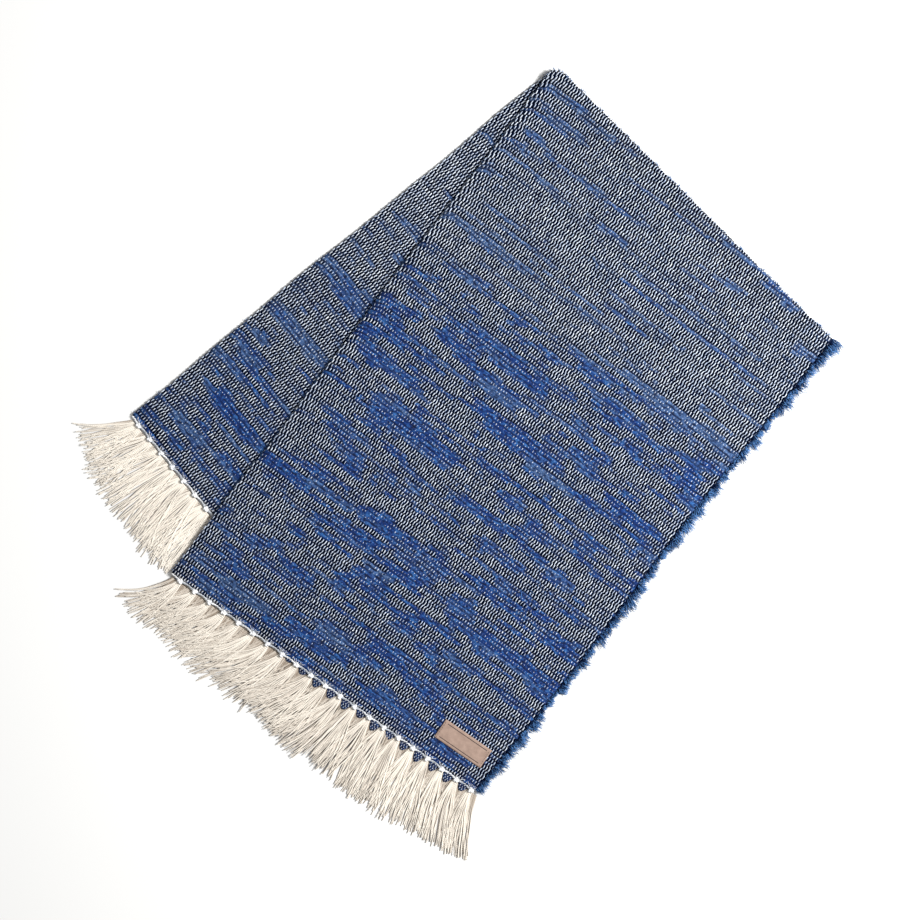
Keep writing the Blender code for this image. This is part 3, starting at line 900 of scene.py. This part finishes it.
# %% The sweeping tree
def sweep_tree():
    """Turns each line of edges into a round thread, as thick as its points say."""
    tree, link, given = start_tree("sweep a ring along each line", (
        ("Lines", "NodeSocketGeometry"),
        ("Sides", "NodeSocketInt"),
        ("Finish", "NodeSocketMaterial"),
    ))
    curve = link.node("GeometryNodeMeshToCurve", {}, {"Mesh": given["Lines"]})
    along = link.node("GeometryNodeSplineParameter", {}, {}, "Length")
    curve = link.node("GeometryNodeStoreNamedAttribute", {"data_type": "FLOAT"}, {
        "Geometry": curve, "Name": "along", "Value": along,
    })
    circle = {"Resolution": given["Sides"], "Radius": 1.0}
    ring = link.node("GeometryNodeCurvePrimitiveCircle", {}, circle, "Curve")
    ring = link.node("GeometryNodeStoreNamedAttribute", {"data_type": "FLOAT_VECTOR"}, {
        "Geometry": ring, "Name": "round", "Value": link.node("GeometryNodeInputPosition"),
    })
    swept = link.node("GeometryNodeCurveToMesh", {}, {
        "Curve": curve, "Profile Curve": ring, "Fill Caps": True,
        "Scale": attribute(link, "thick", "FLOAT"),
    })
    end_tree(link, swept, given["Finish"])
    return tree


SWEEP = sweep_tree()


def sweep(name, lines, thick, sides, material, closed=False, tone=None):
    """Round threads along lines, an array of threads by points by X, Y and Z."""
    count, points = lines.shape[:2]
    index = np.arange(count * points).reshape(count, points)
    pairs = np.stack([index, np.roll(index, -1, axis=1)], -1)
    pairs = pairs if closed else pairs[:, :-1]
    mesh = point_mesh("lines", lines.reshape(-1, 3))
    mesh.edges.add(pairs.size // 2)
    fill(mesh.edges, "vertices", pairs, np.int32)
    tone = rng.uniform(0, 1, (count, 1)) if tone is None else tone
    for label, values in (("thick", thick), ("tone", tone)):
        give(mesh, label, np.broadcast_to(values, index.shape).ravel())
    return run_tree(add_object("lines", mesh), SWEEP, {"Sides": sides, "Finish": material}, name)


def thread_material(name, light, dark, ply):
    """Two-ply cotton, painted darker on its flanks and in its ply groove as shade: a groove winds
    round it once in every ply length.
    """
    material, link, shader = start_material(name, 0.85)
    ring = link.read("round", "Vector")
    side, top = ring.part(0), ring.part(1)
    turn = top.maths("ARCTAN2", top, side) * 2 + link.read("along") * (2 * math.pi / ply)
    groove = turn.sine().size()
    fibre = link.noise(700.0, 2.0)
    painted_flank_shade = (top + 0.95).step(0.0, 1.1)
    # Painted shade: darker on the thread's flanks and in its groove; the tone adds each thread's own
    # lightness and any shade or light painted by the caller.
    lightness = groove * 0.26 + link.read("tone") * 0.56 + fibre * 0.30 - painted_flank_shade
    colour = lightness.step(-0.85, 1.00).tint(dark, light)
    finish_material(link, shader, colour, groove * 0.8 + fibre * 0.3, 0.0005)
    return material


CREAM_THREAD = thread_material("cream fringe thread", srgb(252, 244, 231), srgb(116, 92, 68), 0.006)
WHITE_THREAD = thread_material("white cord thread", srgb(254, 254, 254), srgb(170, 176, 184), 0.004)

# %% [markdown]
# ## The fringes
#
# The warp is gathered into 21 knots at each end, and beyond its knot each bundle hangs as a
# tassel of about forty threads: nineteen that show, and twenty below them in their shade. A
# tassel leans the way it fell: the tables give a lean and a length for a few knots, and those
# between follow. Each thread leaves the knot, bends to the tassel's lean plus a fan angle of
# its own, wanders a little and settles on what lies below.

# %% Tassels
STRANDS, UNDER_STRANDS, STRAND_RADIUS, STRAND_POINTS = 19, 20, 0.00105, 11
FAN, WANDER, BEND_AT = math.radians(17.0), 0.0011, 0.38
THREAD_LEAN, TASSEL_LEAN = math.radians(2.2), math.radians(3.0)     # random leans
THREAD_CURL, TASSEL_CURL = 0.004, 0.006     # how far tips curl aside
STACK = 0.0024                      # how much higher a thread lies that crosses others
NECKS, UNDER_NECK = {"upper": 0.0036, "lower": 0.0095}, 0.0125      # half widths at the knot
START_SPREAD, START_LEAN, START_STRAY = 0.27, 0.30, 0.04    # slopes by which threads leave it
NARROWER_FANS = ((0, 11, 17, TASSELS - 1), (1, 1, 0.8, 0.5))        # towards the cut edge
# Painted shade on the threads below, at the knot, and how much of it is gone by the tip; painted
# light on the flat lower fringe.
SHADE, SHADE_LOST, PAINTED_LIGHT = 1.15, 0.95, {"upper": 0.0, "lower": 0.45}
TUCK_FROM, TUCK_OVER = -0.015, 0.03         # where the lower fringe goes flat under the layer
UPPER_TASSELS = (
    (0, -27, 0.090), (3, -30, 0.100), (6, -27, 0.106), (9, -19, 0.108), (12, -9, 0.110),
    (14, -2, 0.112), (16, 10, 0.114), (18, 19, 0.106), (20, 21, 0.096),
)
LOWER_TASSELS = (
    (0, -35, 0.098), (1, -30, 0.108), (2, -25, 0.106), (3, -17, 0.110), (4, -9, 0.112),
    (6, -4, 0.112), (9, -10, 0.108), (20, -14, 0.106),
)

# Of every thread of a fringe: its tassel, its number there, whether it lies below, and where
# it stands from -1 to 1 across its tassel. Then how far along a thread each of its points is.
THREADS = TASSELS * (STRANDS + UNDER_STRANDS)
TASSEL, THREAD = np.divmod(np.arange(THREADS), STRANDS + UNDER_STRANDS)
BELOW = THREAD >= STRANDS
SPOT = np.concatenate([np.linspace(-1, 1, STRANDS), np.linspace(-1, 1, UNDER_STRANDS)])[THREAD]
SHARE = np.linspace(0, 1, STRAND_POINTS)


def knot_places(layer):
    """The places of the knots in plan, the way along the edge and the way out of the cloth."""
    start, end = ENDS[layer]
    way, out = unit(end - start), outward(start, end)
    steps = FIRST_KNOT + KNOT_PITCH * np.arange(TASSELS)
    return start + way * steps[:, None] + out * KNOT_DEPTH, way, out


def base_height(plan, layer):
    """How high the underside of a layer's end lies over the floor."""
    return lift(plan) if layer == "upper" else np.zeros(plan.shape[:-1])


def tassel_plan(layer, table):
    """The threads of one fringe as bent lines in the plan, and a random phase for each."""
    roots, way, out = knot_places(layer)
    knots, leans, lengths = (np.array(column, float) for column in zip(*table))
    lean = np.radians(np.interp(TASSEL, knots, leans))
    start_lean = np.tan(lean) * START_LEAN
    wide = np.interp(TASSEL, *NARROWER_FANS) * rng.uniform(0.8, 1.1, TASSELS)[TASSEL]
    lean = lean + SPOT * FAN * wide + rng.normal(0, THREAD_LEAN, THREADS)
    lean = lean + rng.normal(0, TASSEL_LEAN, TASSELS)[TASSEL]
    own_length = np.clip(rng.normal(1, 0.05, TASSELS), 0.9, 1.07)[TASSEL]
    length = np.interp(TASSEL, knots, lengths) * own_length * rng.uniform(0.90, 1.04, THREADS)

    neck = np.where(BELOW, UNDER_NECK, NECKS[layer])
    root = roots[TASSEL] + way * (SPOT * neck)[:, None] - out * 0.002
    aside = SPOT * START_SPREAD + start_lean + rng.normal(0, START_STRAY, THREADS)
    first = root + (out + way * aside[:, None]) * (length * BEND_AT)[:, None]
    tip = root + np.stack([np.sin(lean), -np.cos(lean)], -1) * length[:, None]
    root, first, tip, share = root[:, None], first[:, None], tip[:, None], SHARE[:, None]
    line = root * (1 - share) ** 2 + first * 2 * share * (1 - share) + tip * share ** 2
    phase = rng.uniform(0, 2 * math.pi, (THREADS, 1))
    waves = rng.uniform(6, 12, (THREADS, 1))
    sway = WANDER * np.sin(SHARE * waves + phase) * smooth(SHARE * 2)
    curl = rng.normal(0, THREAD_CURL, (THREADS, 1))
    curl = (curl + rng.normal(0, TASSEL_CURL, TASSELS)[TASSEL, None]) * SHARE ** 3
    return line + way * (sway + curl)[..., None], phase


def tassel_height(layer, plan, phase):
    """How high the threads lie: they come down from the knot and rest on each other."""
    crossing = 0.7 + 0.3 * np.sin(SHARE * 5 + 2 * phase)
    level = rng.uniform(0.25, 1, (THREADS, 1)) * STACK * crossing
    level = np.where(BELOW[:, None], 0, level)
    if layer == "lower":
        level = level * smooth((TUCK_FROM - plan[..., 0]) / TUCK_OVER)
    rest = base_height(plan, layer) + STRAND_RADIUS + level
    knot = base_height(knot_places(layer)[0], layer)[TASSEL] + np.where(BELOW, 0.0012, THICK / 2)
    return knot[:, None] + (rest - knot[:, None]) * smooth(SHARE / 0.25)


def make_fringe(layer, table):
    """All threads of one fringe: those below get painted shade near their knot, and the flat lower
    fringe is painted lighter.
    """
    plan, phase = tassel_plan(layer, table)
    lines = in_space(plan, tassel_height(layer, plan, phase))
    # Painted shade on the threads below, strongest at the knot, and painted light on the lower
    # fringe.
    shade = (SHADE - SHADE_LOST * smooth(SHARE * 1.6)) * BELOW[:, None]
    tone = rng.uniform(0, 1, (THREADS, 1)) - shade + PAINTED_LIGHT[layer]
    thick = STRAND_RADIUS * (1 - 0.25 * SHARE ** 4)
    return sweep(f"fringe_threads_{layer}", lines, thick, 5, CREAM_THREAD, tone=tone)


fringe_upper = make_fringe("upper", UPPER_TASSELS)
fringe_lower = make_fringe("lower", LOWER_TASSELS)
print("threads:", 2 * THREADS)

# %% [markdown]
# ## Knots, cord and fans
#
# Each knot is a real overhand knot: its line is a trefoil, pulled tight and laid flat. A
# white cord of two strands, twined round each other, runs over all the knots and is pushed
# out a little by each. On the cloth's side of a knot the gathered warp threads spread out
# like a fan over the first rows.

# %% Knots
KNOT_THREAD, KNOT_SCALE, KNOT_SQUASH = 0.0019, (0.00120, 0.00105, 0.0012), 0.9
KNOT_INSET, KNOT_HIGH = 0.0048, 0.0052      # how far in from its place, and how high, a knot lies


def knot_lines(layer):
    """A trefoil for each knot, each turned its own way."""
    roots, way, out = knot_places(layer)
    turn = np.linspace(0, 2 * math.pi, 24, endpoint=False)
    trefoil = np.stack([
        np.sin(turn) + 2 * np.sin(2 * turn), np.cos(turn) - 2 * np.cos(2 * turn), -np.sin(3 * turn),
    ], -1) * KNOT_SCALE
    spin = rng.uniform(0, 2 * math.pi, TASSELS)
    x = trefoil[:, 0] * np.cos(spin)[:, None] - trefoil[:, 1] * np.sin(spin)[:, None]
    y = trefoil[:, 0] * np.sin(spin)[:, None] + trefoil[:, 1] * np.cos(spin)[:, None]
    middle = (roots - out * KNOT_INSET)[:, None]
    plan = middle + way * x[..., None] + out * y[..., None] * KNOT_SQUASH
    return in_space(plan, base_height(roots, layer)[:, None] + KNOT_HIGH + trefoil[:, 2])


# %% Twined cord and fans
CORD_PITCH, CORD_STRAND, CORD_OFFSET, CORD_MARGIN = 0.009, 0.00098, 0.00092, 0.002
CORD_OUT, CORD_BOW = 0.0012, 0.0020         # how far out the cord lies, and more at each knot
CORD_HIGH, CORD_HUMP = 0.0033, 0.0016       # the same for its height
FAN_THREADS, FAN_THICK, FAN_WIDE = 5, 0.00048, 0.022
FAN_REACH, FAN_START = 0.0050, 0.001        # over the cloth, and out to the knot


def cord_lines(layer):
    """Two strands that wind round each other along the knots."""
    start, end = ENDS[layer]
    _, way, out = knot_places(layer)
    steps = np.arange(CORD_MARGIN, np.linalg.norm(end - start) - CORD_MARGIN, CORD_PITCH / 8)
    beat = 0.5 + 0.5 * np.cos(2 * math.pi * (steps - FIRST_KNOT) / KNOT_PITCH)
    path = start + way * steps[:, None] + out * (CORD_OUT + CORD_BOW * beat)[:, None]
    height = base_height(path, layer) + CORD_HIGH + CORD_HUMP * beat
    strands = []
    for half_turn in (0, math.pi):
        angle = 2 * math.pi * steps / CORD_PITCH + half_turn
        plan = path + out * (CORD_OFFSET * np.cos(angle))[:, None]
        strands.append(in_space(plan, height + CORD_OFFSET * np.sin(angle)))
    return np.array(strands)


def fan_lines(layer):
    """White warp threads that spread from each knot over the cloth's first rows."""
    roots, way, out = knot_places(layer)
    share = np.linspace(0, 1, 5)
    knot = roots[:, None, None] - out * (KNOT_DEPTH - FAN_START)
    side = FAN_WIDE * np.linspace(-0.5, 0.5, FAN_THREADS)[:, None] * (0.30 + 0.70 * share)
    inward = np.broadcast_to((FAN_REACH + FAN_START) * share, side.shape)
    plan = knot + way * side[..., None] - out * inward[..., None]
    top = base_height(plan, layer) + THICK / 2 + HALF + RIB
    height = top + 0.0004 - 0.0006 * share ** 2 - 0.0012 * (1 - share) ** 2
    return in_space(plan, height).reshape(-1, len(share), 3)


bindings = [
    sweep(f"{kind}_{layer}", lines(layer), thick, sides, WHITE_THREAD, kind == "knots")
    for kind, lines, thick, sides in (
        ("knots", knot_lines, KNOT_THREAD, 6),
        ("cord", cord_lines, CORD_STRAND, 5),
        ("fans", fan_lines, FAN_THICK, 4),
    )
    for layer in ENDS
]
print("knots:", 2 * TASSELS, "with", len(bindings[0].data.polygons), "faces on one fringe")

# %% [markdown]
# ### Heading tabs
#
# Over the right two thirds of the upper fringe the last rows of weft were not beaten up to
# the cord. They bulge out between the knots as small dark tabs with a few white dashes. Each
# is a closed scrap of the same cloth with a rounded outline, so it uses the cloth's material.

# %% Build the heading tabs
HEADING_FROM, HEADING_DEPTH, HEADING_WIDE, HEADING_GROWN = 6, 0.0190, 0.0215, 4
TAB_ROWS, TAB_COLUMNS, TAB_HALF, TAB_HIGH, TAB_IN = 7, 8, 0.0010, 0.0029, 0.002
TAB_REPEATS, TAB_PICK = 103, 0.0036         # its weave: repeats to half a metre, and row pitch
TAB_MAP_STEP, TAB_MAP_START = (5, 2), 2000  # its place on the weave map, away from the cloth's


def make_headings(material):
    """Closed scraps of cloth between the knots, each with its own depth."""
    roots, way, out = knot_places("upper")
    v, u = np.meshgrid(np.linspace(0, 1, TAB_ROWS), np.linspace(-1, 1, TAB_COLUMNS), indexing="ij")
    points, quads, uvs = [], [], []
    for tab, knot in enumerate(range(HEADING_FROM, TASSELS - 1)):
        middle = (roots[knot] + roots[knot + 1]) / 2 - out * KNOT_DEPTH
        depth = HEADING_DEPTH * smooth((tab + 1) / HEADING_GROWN) * rng.uniform(0.85, 1.1)
        narrow = HEADING_WIDE / 2 * (1 - 0.28 * v ** 2)
        bulge = v * depth * np.sqrt(1 - 0.75 * u ** 2)
        plan = middle + way * (u * narrow)[..., None] + out * (bulge - TAB_IN)[..., None]
        height = base_height(plan, "upper") + TAB_HIGH - 0.0012 * v ** 2
        height = height + 0.0004 * np.cos(math.pi * u)
        map_u = knot * TAB_MAP_STEP[0] + u * HEADING_WIDE * TAB_REPEATS
        map_v = TAB_MAP_START + knot * TAB_MAP_STEP[1] + v * depth / TAB_PICK
        for side in (1, -1):
            points.append(in_space(plan, height + side * TAB_HALF).reshape(-1, 3))
            uvs.append(np.stack([map_u, map_v], -1).reshape(-1, 2))
        quads.append(ground_quads(TAB_ROWS, TAB_COLUMNS) + 2 * u.size * tab)
    tabs = plain_mesh("heading_tabs", np.concatenate(points), np.concatenate(quads), material)
    weft = np.tile((0.50, 1.0, 0.0, 1.0), (len(tabs.data.vertices), 1))
    dress_cloth(tabs.data, np.concatenate(uvs), weft)
    return tabs


headings = make_headings(ground.data.materials[0])
print("heading tabs:", TASSELS - 1 - HEADING_FROM)

# %% [markdown]
# ## The shaggy edge and the fuzz
#
# Along its cut edge every strip of the weft ends in a frayed tuft about 15 mm long. Tufts
# bunch into clumps with small notches between them, so a slow wave and some noise along the
# edge set how long they are, and one long tuft stands at the fold's corner. The neat edge and
# the fold have only short fuzz. A fibre is a bent, tapering sliver with three sides, set on
# points by the same tree as the floats.

# %% The fibre's shape
def fibre_mesh(bow):
    """A sliver along X from 0 to 1 that bows sideways and ends in a point."""
    points = []
    for x, radius, aside in ((0.0, 0.50, 0.0), (0.55, 0.42, bow)):
        for corner in range(3):
            angle = 2 * math.pi * corner / 3
            points.append((x, radius * math.cos(angle), radius * math.sin(angle) + aside))
    points.append((1.0, 0.0, 0.0))
    faces = [(2, 1, 0), (3, 4, 6), (4, 5, 6), (5, 3, 6)]
    for corner in range(3):
        after = (corner + 1) % 3
        faces.append((corner, after, after + 3, corner + 3))
    mesh = closed_mesh("fibre", points, faces)
    # Painted shade: a fibre's colour is darkest at its root, where it leaves the cloth, and lightens
    # to its tip.
    give(mesh, "reach", np.array([-0.85] * 3 + [0.0] * 3 + [0.35]))
    return mesh


FIBRE = add_object("fibre_shape", fibre_mesh(2.4))
LEAST_HEIGHT = 0.0002


def settle(piece):
    """Lifts what dips under the floor onto it."""
    points = np.empty(len(piece.data.vertices) * 3, np.float32)
    piece.data.vertices.foreach_get("co", points)
    points[2::3] = np.maximum(points[2::3], LEAST_HEIGHT)
    fill(piece.data.vertices, "co", points)
    piece.data.update()
    return piece


def set_fibres(name, points, length, width, ways, ups, material, tone):
    """A fibre on each point, this long and this wide."""
    sizes = np.stack([length, width, width], -1)
    return settle(scatter(name, FIBRE, points, sizes, ways, ups, material, tone))


# %% Tufts of the cut edge
TUFT_FIBRES, TUFT_LONG, TUFT_WIDE = 40, 0.0290, 0.0013
FUZZ_FIBRES, FUZZ_LONG, FUZZ_WIDE = 6, 0.0055, 0.0006
CLUMP, CLUMP_WAVE, CLUMP_NOISE, LEAST_CLUMP = 0.64, 0.20, (1.7, 0.17), 0.22    # shares of length
CLUMP_ROWS, CLUMP_SHIFT, SHIFT_ROWS = 3.9, 2.5, 7.0         # rows to a clump, and how that wavers
CORNER_TUFT, CORNER_TUFT_REACH = 0.5, 0.010
MOST_ASIDE, UPRIGHT_LESS, RISE_RANGE = 0.9, 0.75, (-0.50, 0.25)     # slopes of the fibres


def edge_fibres(name, across, per_row, long, wide, spread, rise, material):
    """Fibres that stand out of one long edge, in a tuft for each weft row."""
    row = np.repeat(np.arange(PICKS), per_row)
    count = len(row)
    outwards = 1 if across > 0.5 else -1
    along = np.clip((row + 0.5 + rng.normal(0, 0.35, count)) / PICKS, 0.002, 0.998)
    at = across - outwards * rng.uniform(-0.003, 0.004, count)
    middle, face, warp = cloth_at(at, along)
    out = np.cross(warp, face) * outwards
    wave = np.sin(2 * math.pi * row / CLUMP_ROWS + CLUMP_SHIFT * np.sin(row / SHIFT_ROWS))
    clump = CLUMP + CLUMP_WAVE * wave + soft_noise(PICKS, *CLUMP_NOISE)[row]
    clump = np.clip(clump, LEAST_CLUMP, 1.0)
    aim = rng.normal(0, spread, PICKS)[row] + rng.normal(0, spread, count)
    aim = np.clip(aim, -MOST_ASIDE, MOST_ASIDE) * (1 - UPRIGHT_LESS * np.abs(warp[:, 2]))
    up = np.clip(rng.normal(0, rise, count), *RISE_RANGE)
    ways = out + warp * aim[:, None] + face * up[:, None]
    from_corner = (along - crest_along(np.array([across]))) / CORNER_TUFT_REACH
    share = clump + CORNER_TUFT * np.exp(-from_corner ** 2)
    length = long * share * rng.uniform(0.25, 1.0, count) ** 0.8
    points = middle + face * (rng.uniform(-1, 1, count) * HALF)[:, None]
    width = wide * rng.uniform(0.6, 1.25, count)
    tone = rng.normal(0.5, 0.3, PICKS)[row] + rng.normal(0, 0.3, count)
    ups = face + rng.normal(0, 1, (count, 3))
    return set_fibres(name, points, length, width, ways, ups, material, np.clip(tone, -0.3, 1.1))


FRAYED = cotton_material("frayed blue cotton", srgb(88, 134, 190), srgb(6, 24, 62), 0.1)
tufts = edge_fibres("cut_edge_tufts", 1.0, TUFT_FIBRES, TUFT_LONG, TUFT_WIDE, 0.34, 0.30, FRAYED)
fuzz = edge_fibres("neat_edge_fuzz", 0.0, FUZZ_FIBRES, FUZZ_LONG, FUZZ_WIDE, 0.5, 0.4, FRAYED)
print("tuft fibres:", TUFT_FIBRES * PICKS)

# %% Fuzz of the fold
FOLD_FIBRES, FOLD_BUNCH, FOLD_LONG, FOLD_WIDE = 520, 4, 0.0080, 0.0012
FOLD_ASIDE, FOLD_ALONG = 0.7, 0.35          # slopes by which they stray


def fold_fibres(name, material):
    """Short fibres that stand out of the fold's outermost line, in small bunches."""
    bunches = FOLD_FIBRES // FOLD_BUNCH
    across = np.repeat(rng.uniform(0.01, 0.99, bunches), FOLD_BUNCH)
    across = np.clip(across + rng.normal(0, 0.003, FOLD_FIBRES), 0.005, 0.995)
    along = crest_along(across) + rng.normal(0, 0.0012, FOLD_FIBRES)
    middle, face, warp = cloth_at(across, along)
    aside = rng.normal(0, FOLD_ASIDE, (FOLD_FIBRES, 1))
    forward = rng.normal(0, FOLD_ALONG, (FOLD_FIBRES, 1))
    ways = face + np.cross(warp, face) * aside + warp * forward
    length = FOLD_LONG * np.repeat(rng.uniform(0.5, 1.1, bunches), FOLD_BUNCH)
    length = length * rng.uniform(0.6, 1.0, FOLD_FIBRES)
    width = FOLD_WIDE * rng.uniform(0.6, 1.2, FOLD_FIBRES)
    ups = warp + rng.normal(0, 1, (FOLD_FIBRES, 3))
    tone = rng.uniform(0.3, 1.2, FOLD_FIBRES)
    return set_fibres(name, middle + face * HALF, length, width, ways, ups, material, tone)


fold_fuzz = fold_fibres("fold_fuzz", FRAYED)
print("fold fibres:", FOLD_FIBRES)

# %% [markdown]
# ## The label
#
# A short woven tape is sewn on near one corner. It is a thin, slightly cushioned sheet with
# a fine weave and a plain line along each long side, held by small stitches at both ends.

# %% Build the label
LABEL_COLUMNS, LABEL_ROWS, LABEL_HALF, LABEL_STAND = 44, 18, 0.00045, 0.0006
LABEL_PUFF, LABEL_CREASE, CREASES = 0.0005, 0.00018, (40, 9)
LABEL_WARP, LABEL_WEFT = 520.0, 200.0       # threads of its weave, as radians to its length, width
LINE_PLACE, LINE_HALF, LINE_END = 0.36, 0.012, 0.42


def label_point(u, v):
    """Where a point of the tape lies in the plan, u and v from -0.5 to 0.5."""
    x, y = u * LABEL_SIZE[0], v * LABEL_SIZE[1]
    return np.stack([
        LABEL_MIDDLE[0] + x * math.cos(LABEL_TURN) - y * math.sin(LABEL_TURN),
        LABEL_MIDDLE[1] + x * math.sin(LABEL_TURN) + y * math.cos(LABEL_TURN),
    ], -1)


def make_label(material):
    """The tape as a closed, slightly puffed sheet that lies on the cloth."""
    rows, columns = np.linspace(-0.5, 0.5, LABEL_ROWS + 1), np.linspace(-0.5, 0.5, LABEL_COLUMNS + 1)
    v, u = np.meshgrid(rows, columns, indexing="ij")
    plan = label_point(u, v)
    puff = LABEL_PUFF * np.cos(math.pi * u) * np.cos(math.pi * v)
    puff = puff + LABEL_CREASE * np.sin(u * CREASES[0]) * np.cos(v * CREASES[1])
    height = lift(plan) + THICK + LABEL_STAND + puff
    sides = [in_space(plan, height + side * LABEL_HALF).reshape(-1, 3) for side in (1, -1)]
    quads = ground_quads(LABEL_ROWS + 1, LABEL_COLUMNS + 1)
    tape = plain_mesh("label_tape", np.concatenate(sides), quads, material)
    uv = np.stack([u, v], -1).reshape(-1, 2)
    add_uv(tape.data, "tape", np.concatenate([uv, uv]))
    return tape


def label_material():
    """A fine two-way weave with a line along each long side."""
    material, link, shader = start_material("taupe tape", 0.8)
    tape = link.node("ShaderNodeUVMap", {"uv_map": "tape"})
    u, v = tape.part(0), tape.part(1)
    weave = (u * LABEL_WARP).sine() * (v * LABEL_WEFT).sine()
    cloud = link.noise(120.0, 3.0)
    taupe = (weave * 0.25 + cloud).tint(srgb(136, 114, 102), srgb(182, 156, 141))
    line = (v.size() - LINE_PLACE).size().step(LINE_HALF + 0.01, LINE_HALF)
    edge = u.size().step(LINE_END + 0.01, LINE_END)
    colour = (line * edge).tint(taupe, srgb(44, 38, 38))
    finish_material(link, shader, colour, weave * 0.5 + cloud * 0.4, 0.0003)
    return material


label = make_label(label_material())

# %% Stitches of the label
STITCH_LONG, STITCH_EVERY, STITCH_THREAD = 0.0026, 0.0042, 0.0003
STITCH_ENDS, STITCH_ROW = (-0.47, 0.47), (-0.42, 0.43)      # on the tape, along and across it
STITCH_HIGH, STITCH_ARCH = 0.0011, 0.0003


def stitch_lines():
    """Short arched lines in a row at each end of the tape."""
    lines = []
    share = np.linspace(-0.5, 0.5, 4)
    for end in STITCH_ENDS:
        for place in np.arange(*STITCH_ROW, STITCH_EVERY / LABEL_SIZE[1]):
            plan = label_point(np.full(4, end), place + share * STITCH_LONG / LABEL_SIZE[1])
            height = lift(plan) + THICK + STITCH_HIGH + STITCH_ARCH * np.cos(math.pi * share)
            lines.append(in_space(plan, height))
    return np.array(lines)


TAUPE_THREAD = thread_material("taupe sewing thread", srgb(120, 106, 96), srgb(82, 72, 66), 0.002)
stitches = sweep("label_stitches", stitch_lines(), STITCH_THREAD, 4, TAUPE_THREAD)
print("label stitches:", len(stitch_lines()))

# %% [markdown]
# ## Every piece rides on the rug
#
# The helpers that only lent their shape go away. Each finished piece rides on the one body,
# and the solids that the pieces stand for are hidden.

for lent in (WHITE_FLOAT, BLACK_FLOAT, FIBRE):
    bpy.data.objects.remove(lent)

PIECES = (
    (ground, "rag_weave", ("rug_cloth",)),
    *((piece, "rag_weave", ()) for piece in (*floats, headings, tufts, fuzz, fold_fuzz)),
    (fringe_upper, "fringe_cotton", ("fringe_upper",)),
    (fringe_lower, "fringe_cotton", ("fringe_lower",)),
    *((piece, "fringe_cotton", ()) for piece in bindings),
    (label, "label_tape", ("label",)),
    (stitches, "label_tape", ()),
)
for piece, finish, solids in PIECES:
    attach(piece, "root")
    if solids:
        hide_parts(*solids)

total = 0
for piece, _, _ in PIECES:
    piece.data.calc_loop_triangles()
    total += len(piece.data.loop_triangles)
    print(f"{piece.name}: {len(piece.data.loop_triangles)} triangles")
print("all pieces:", total, "triangles")
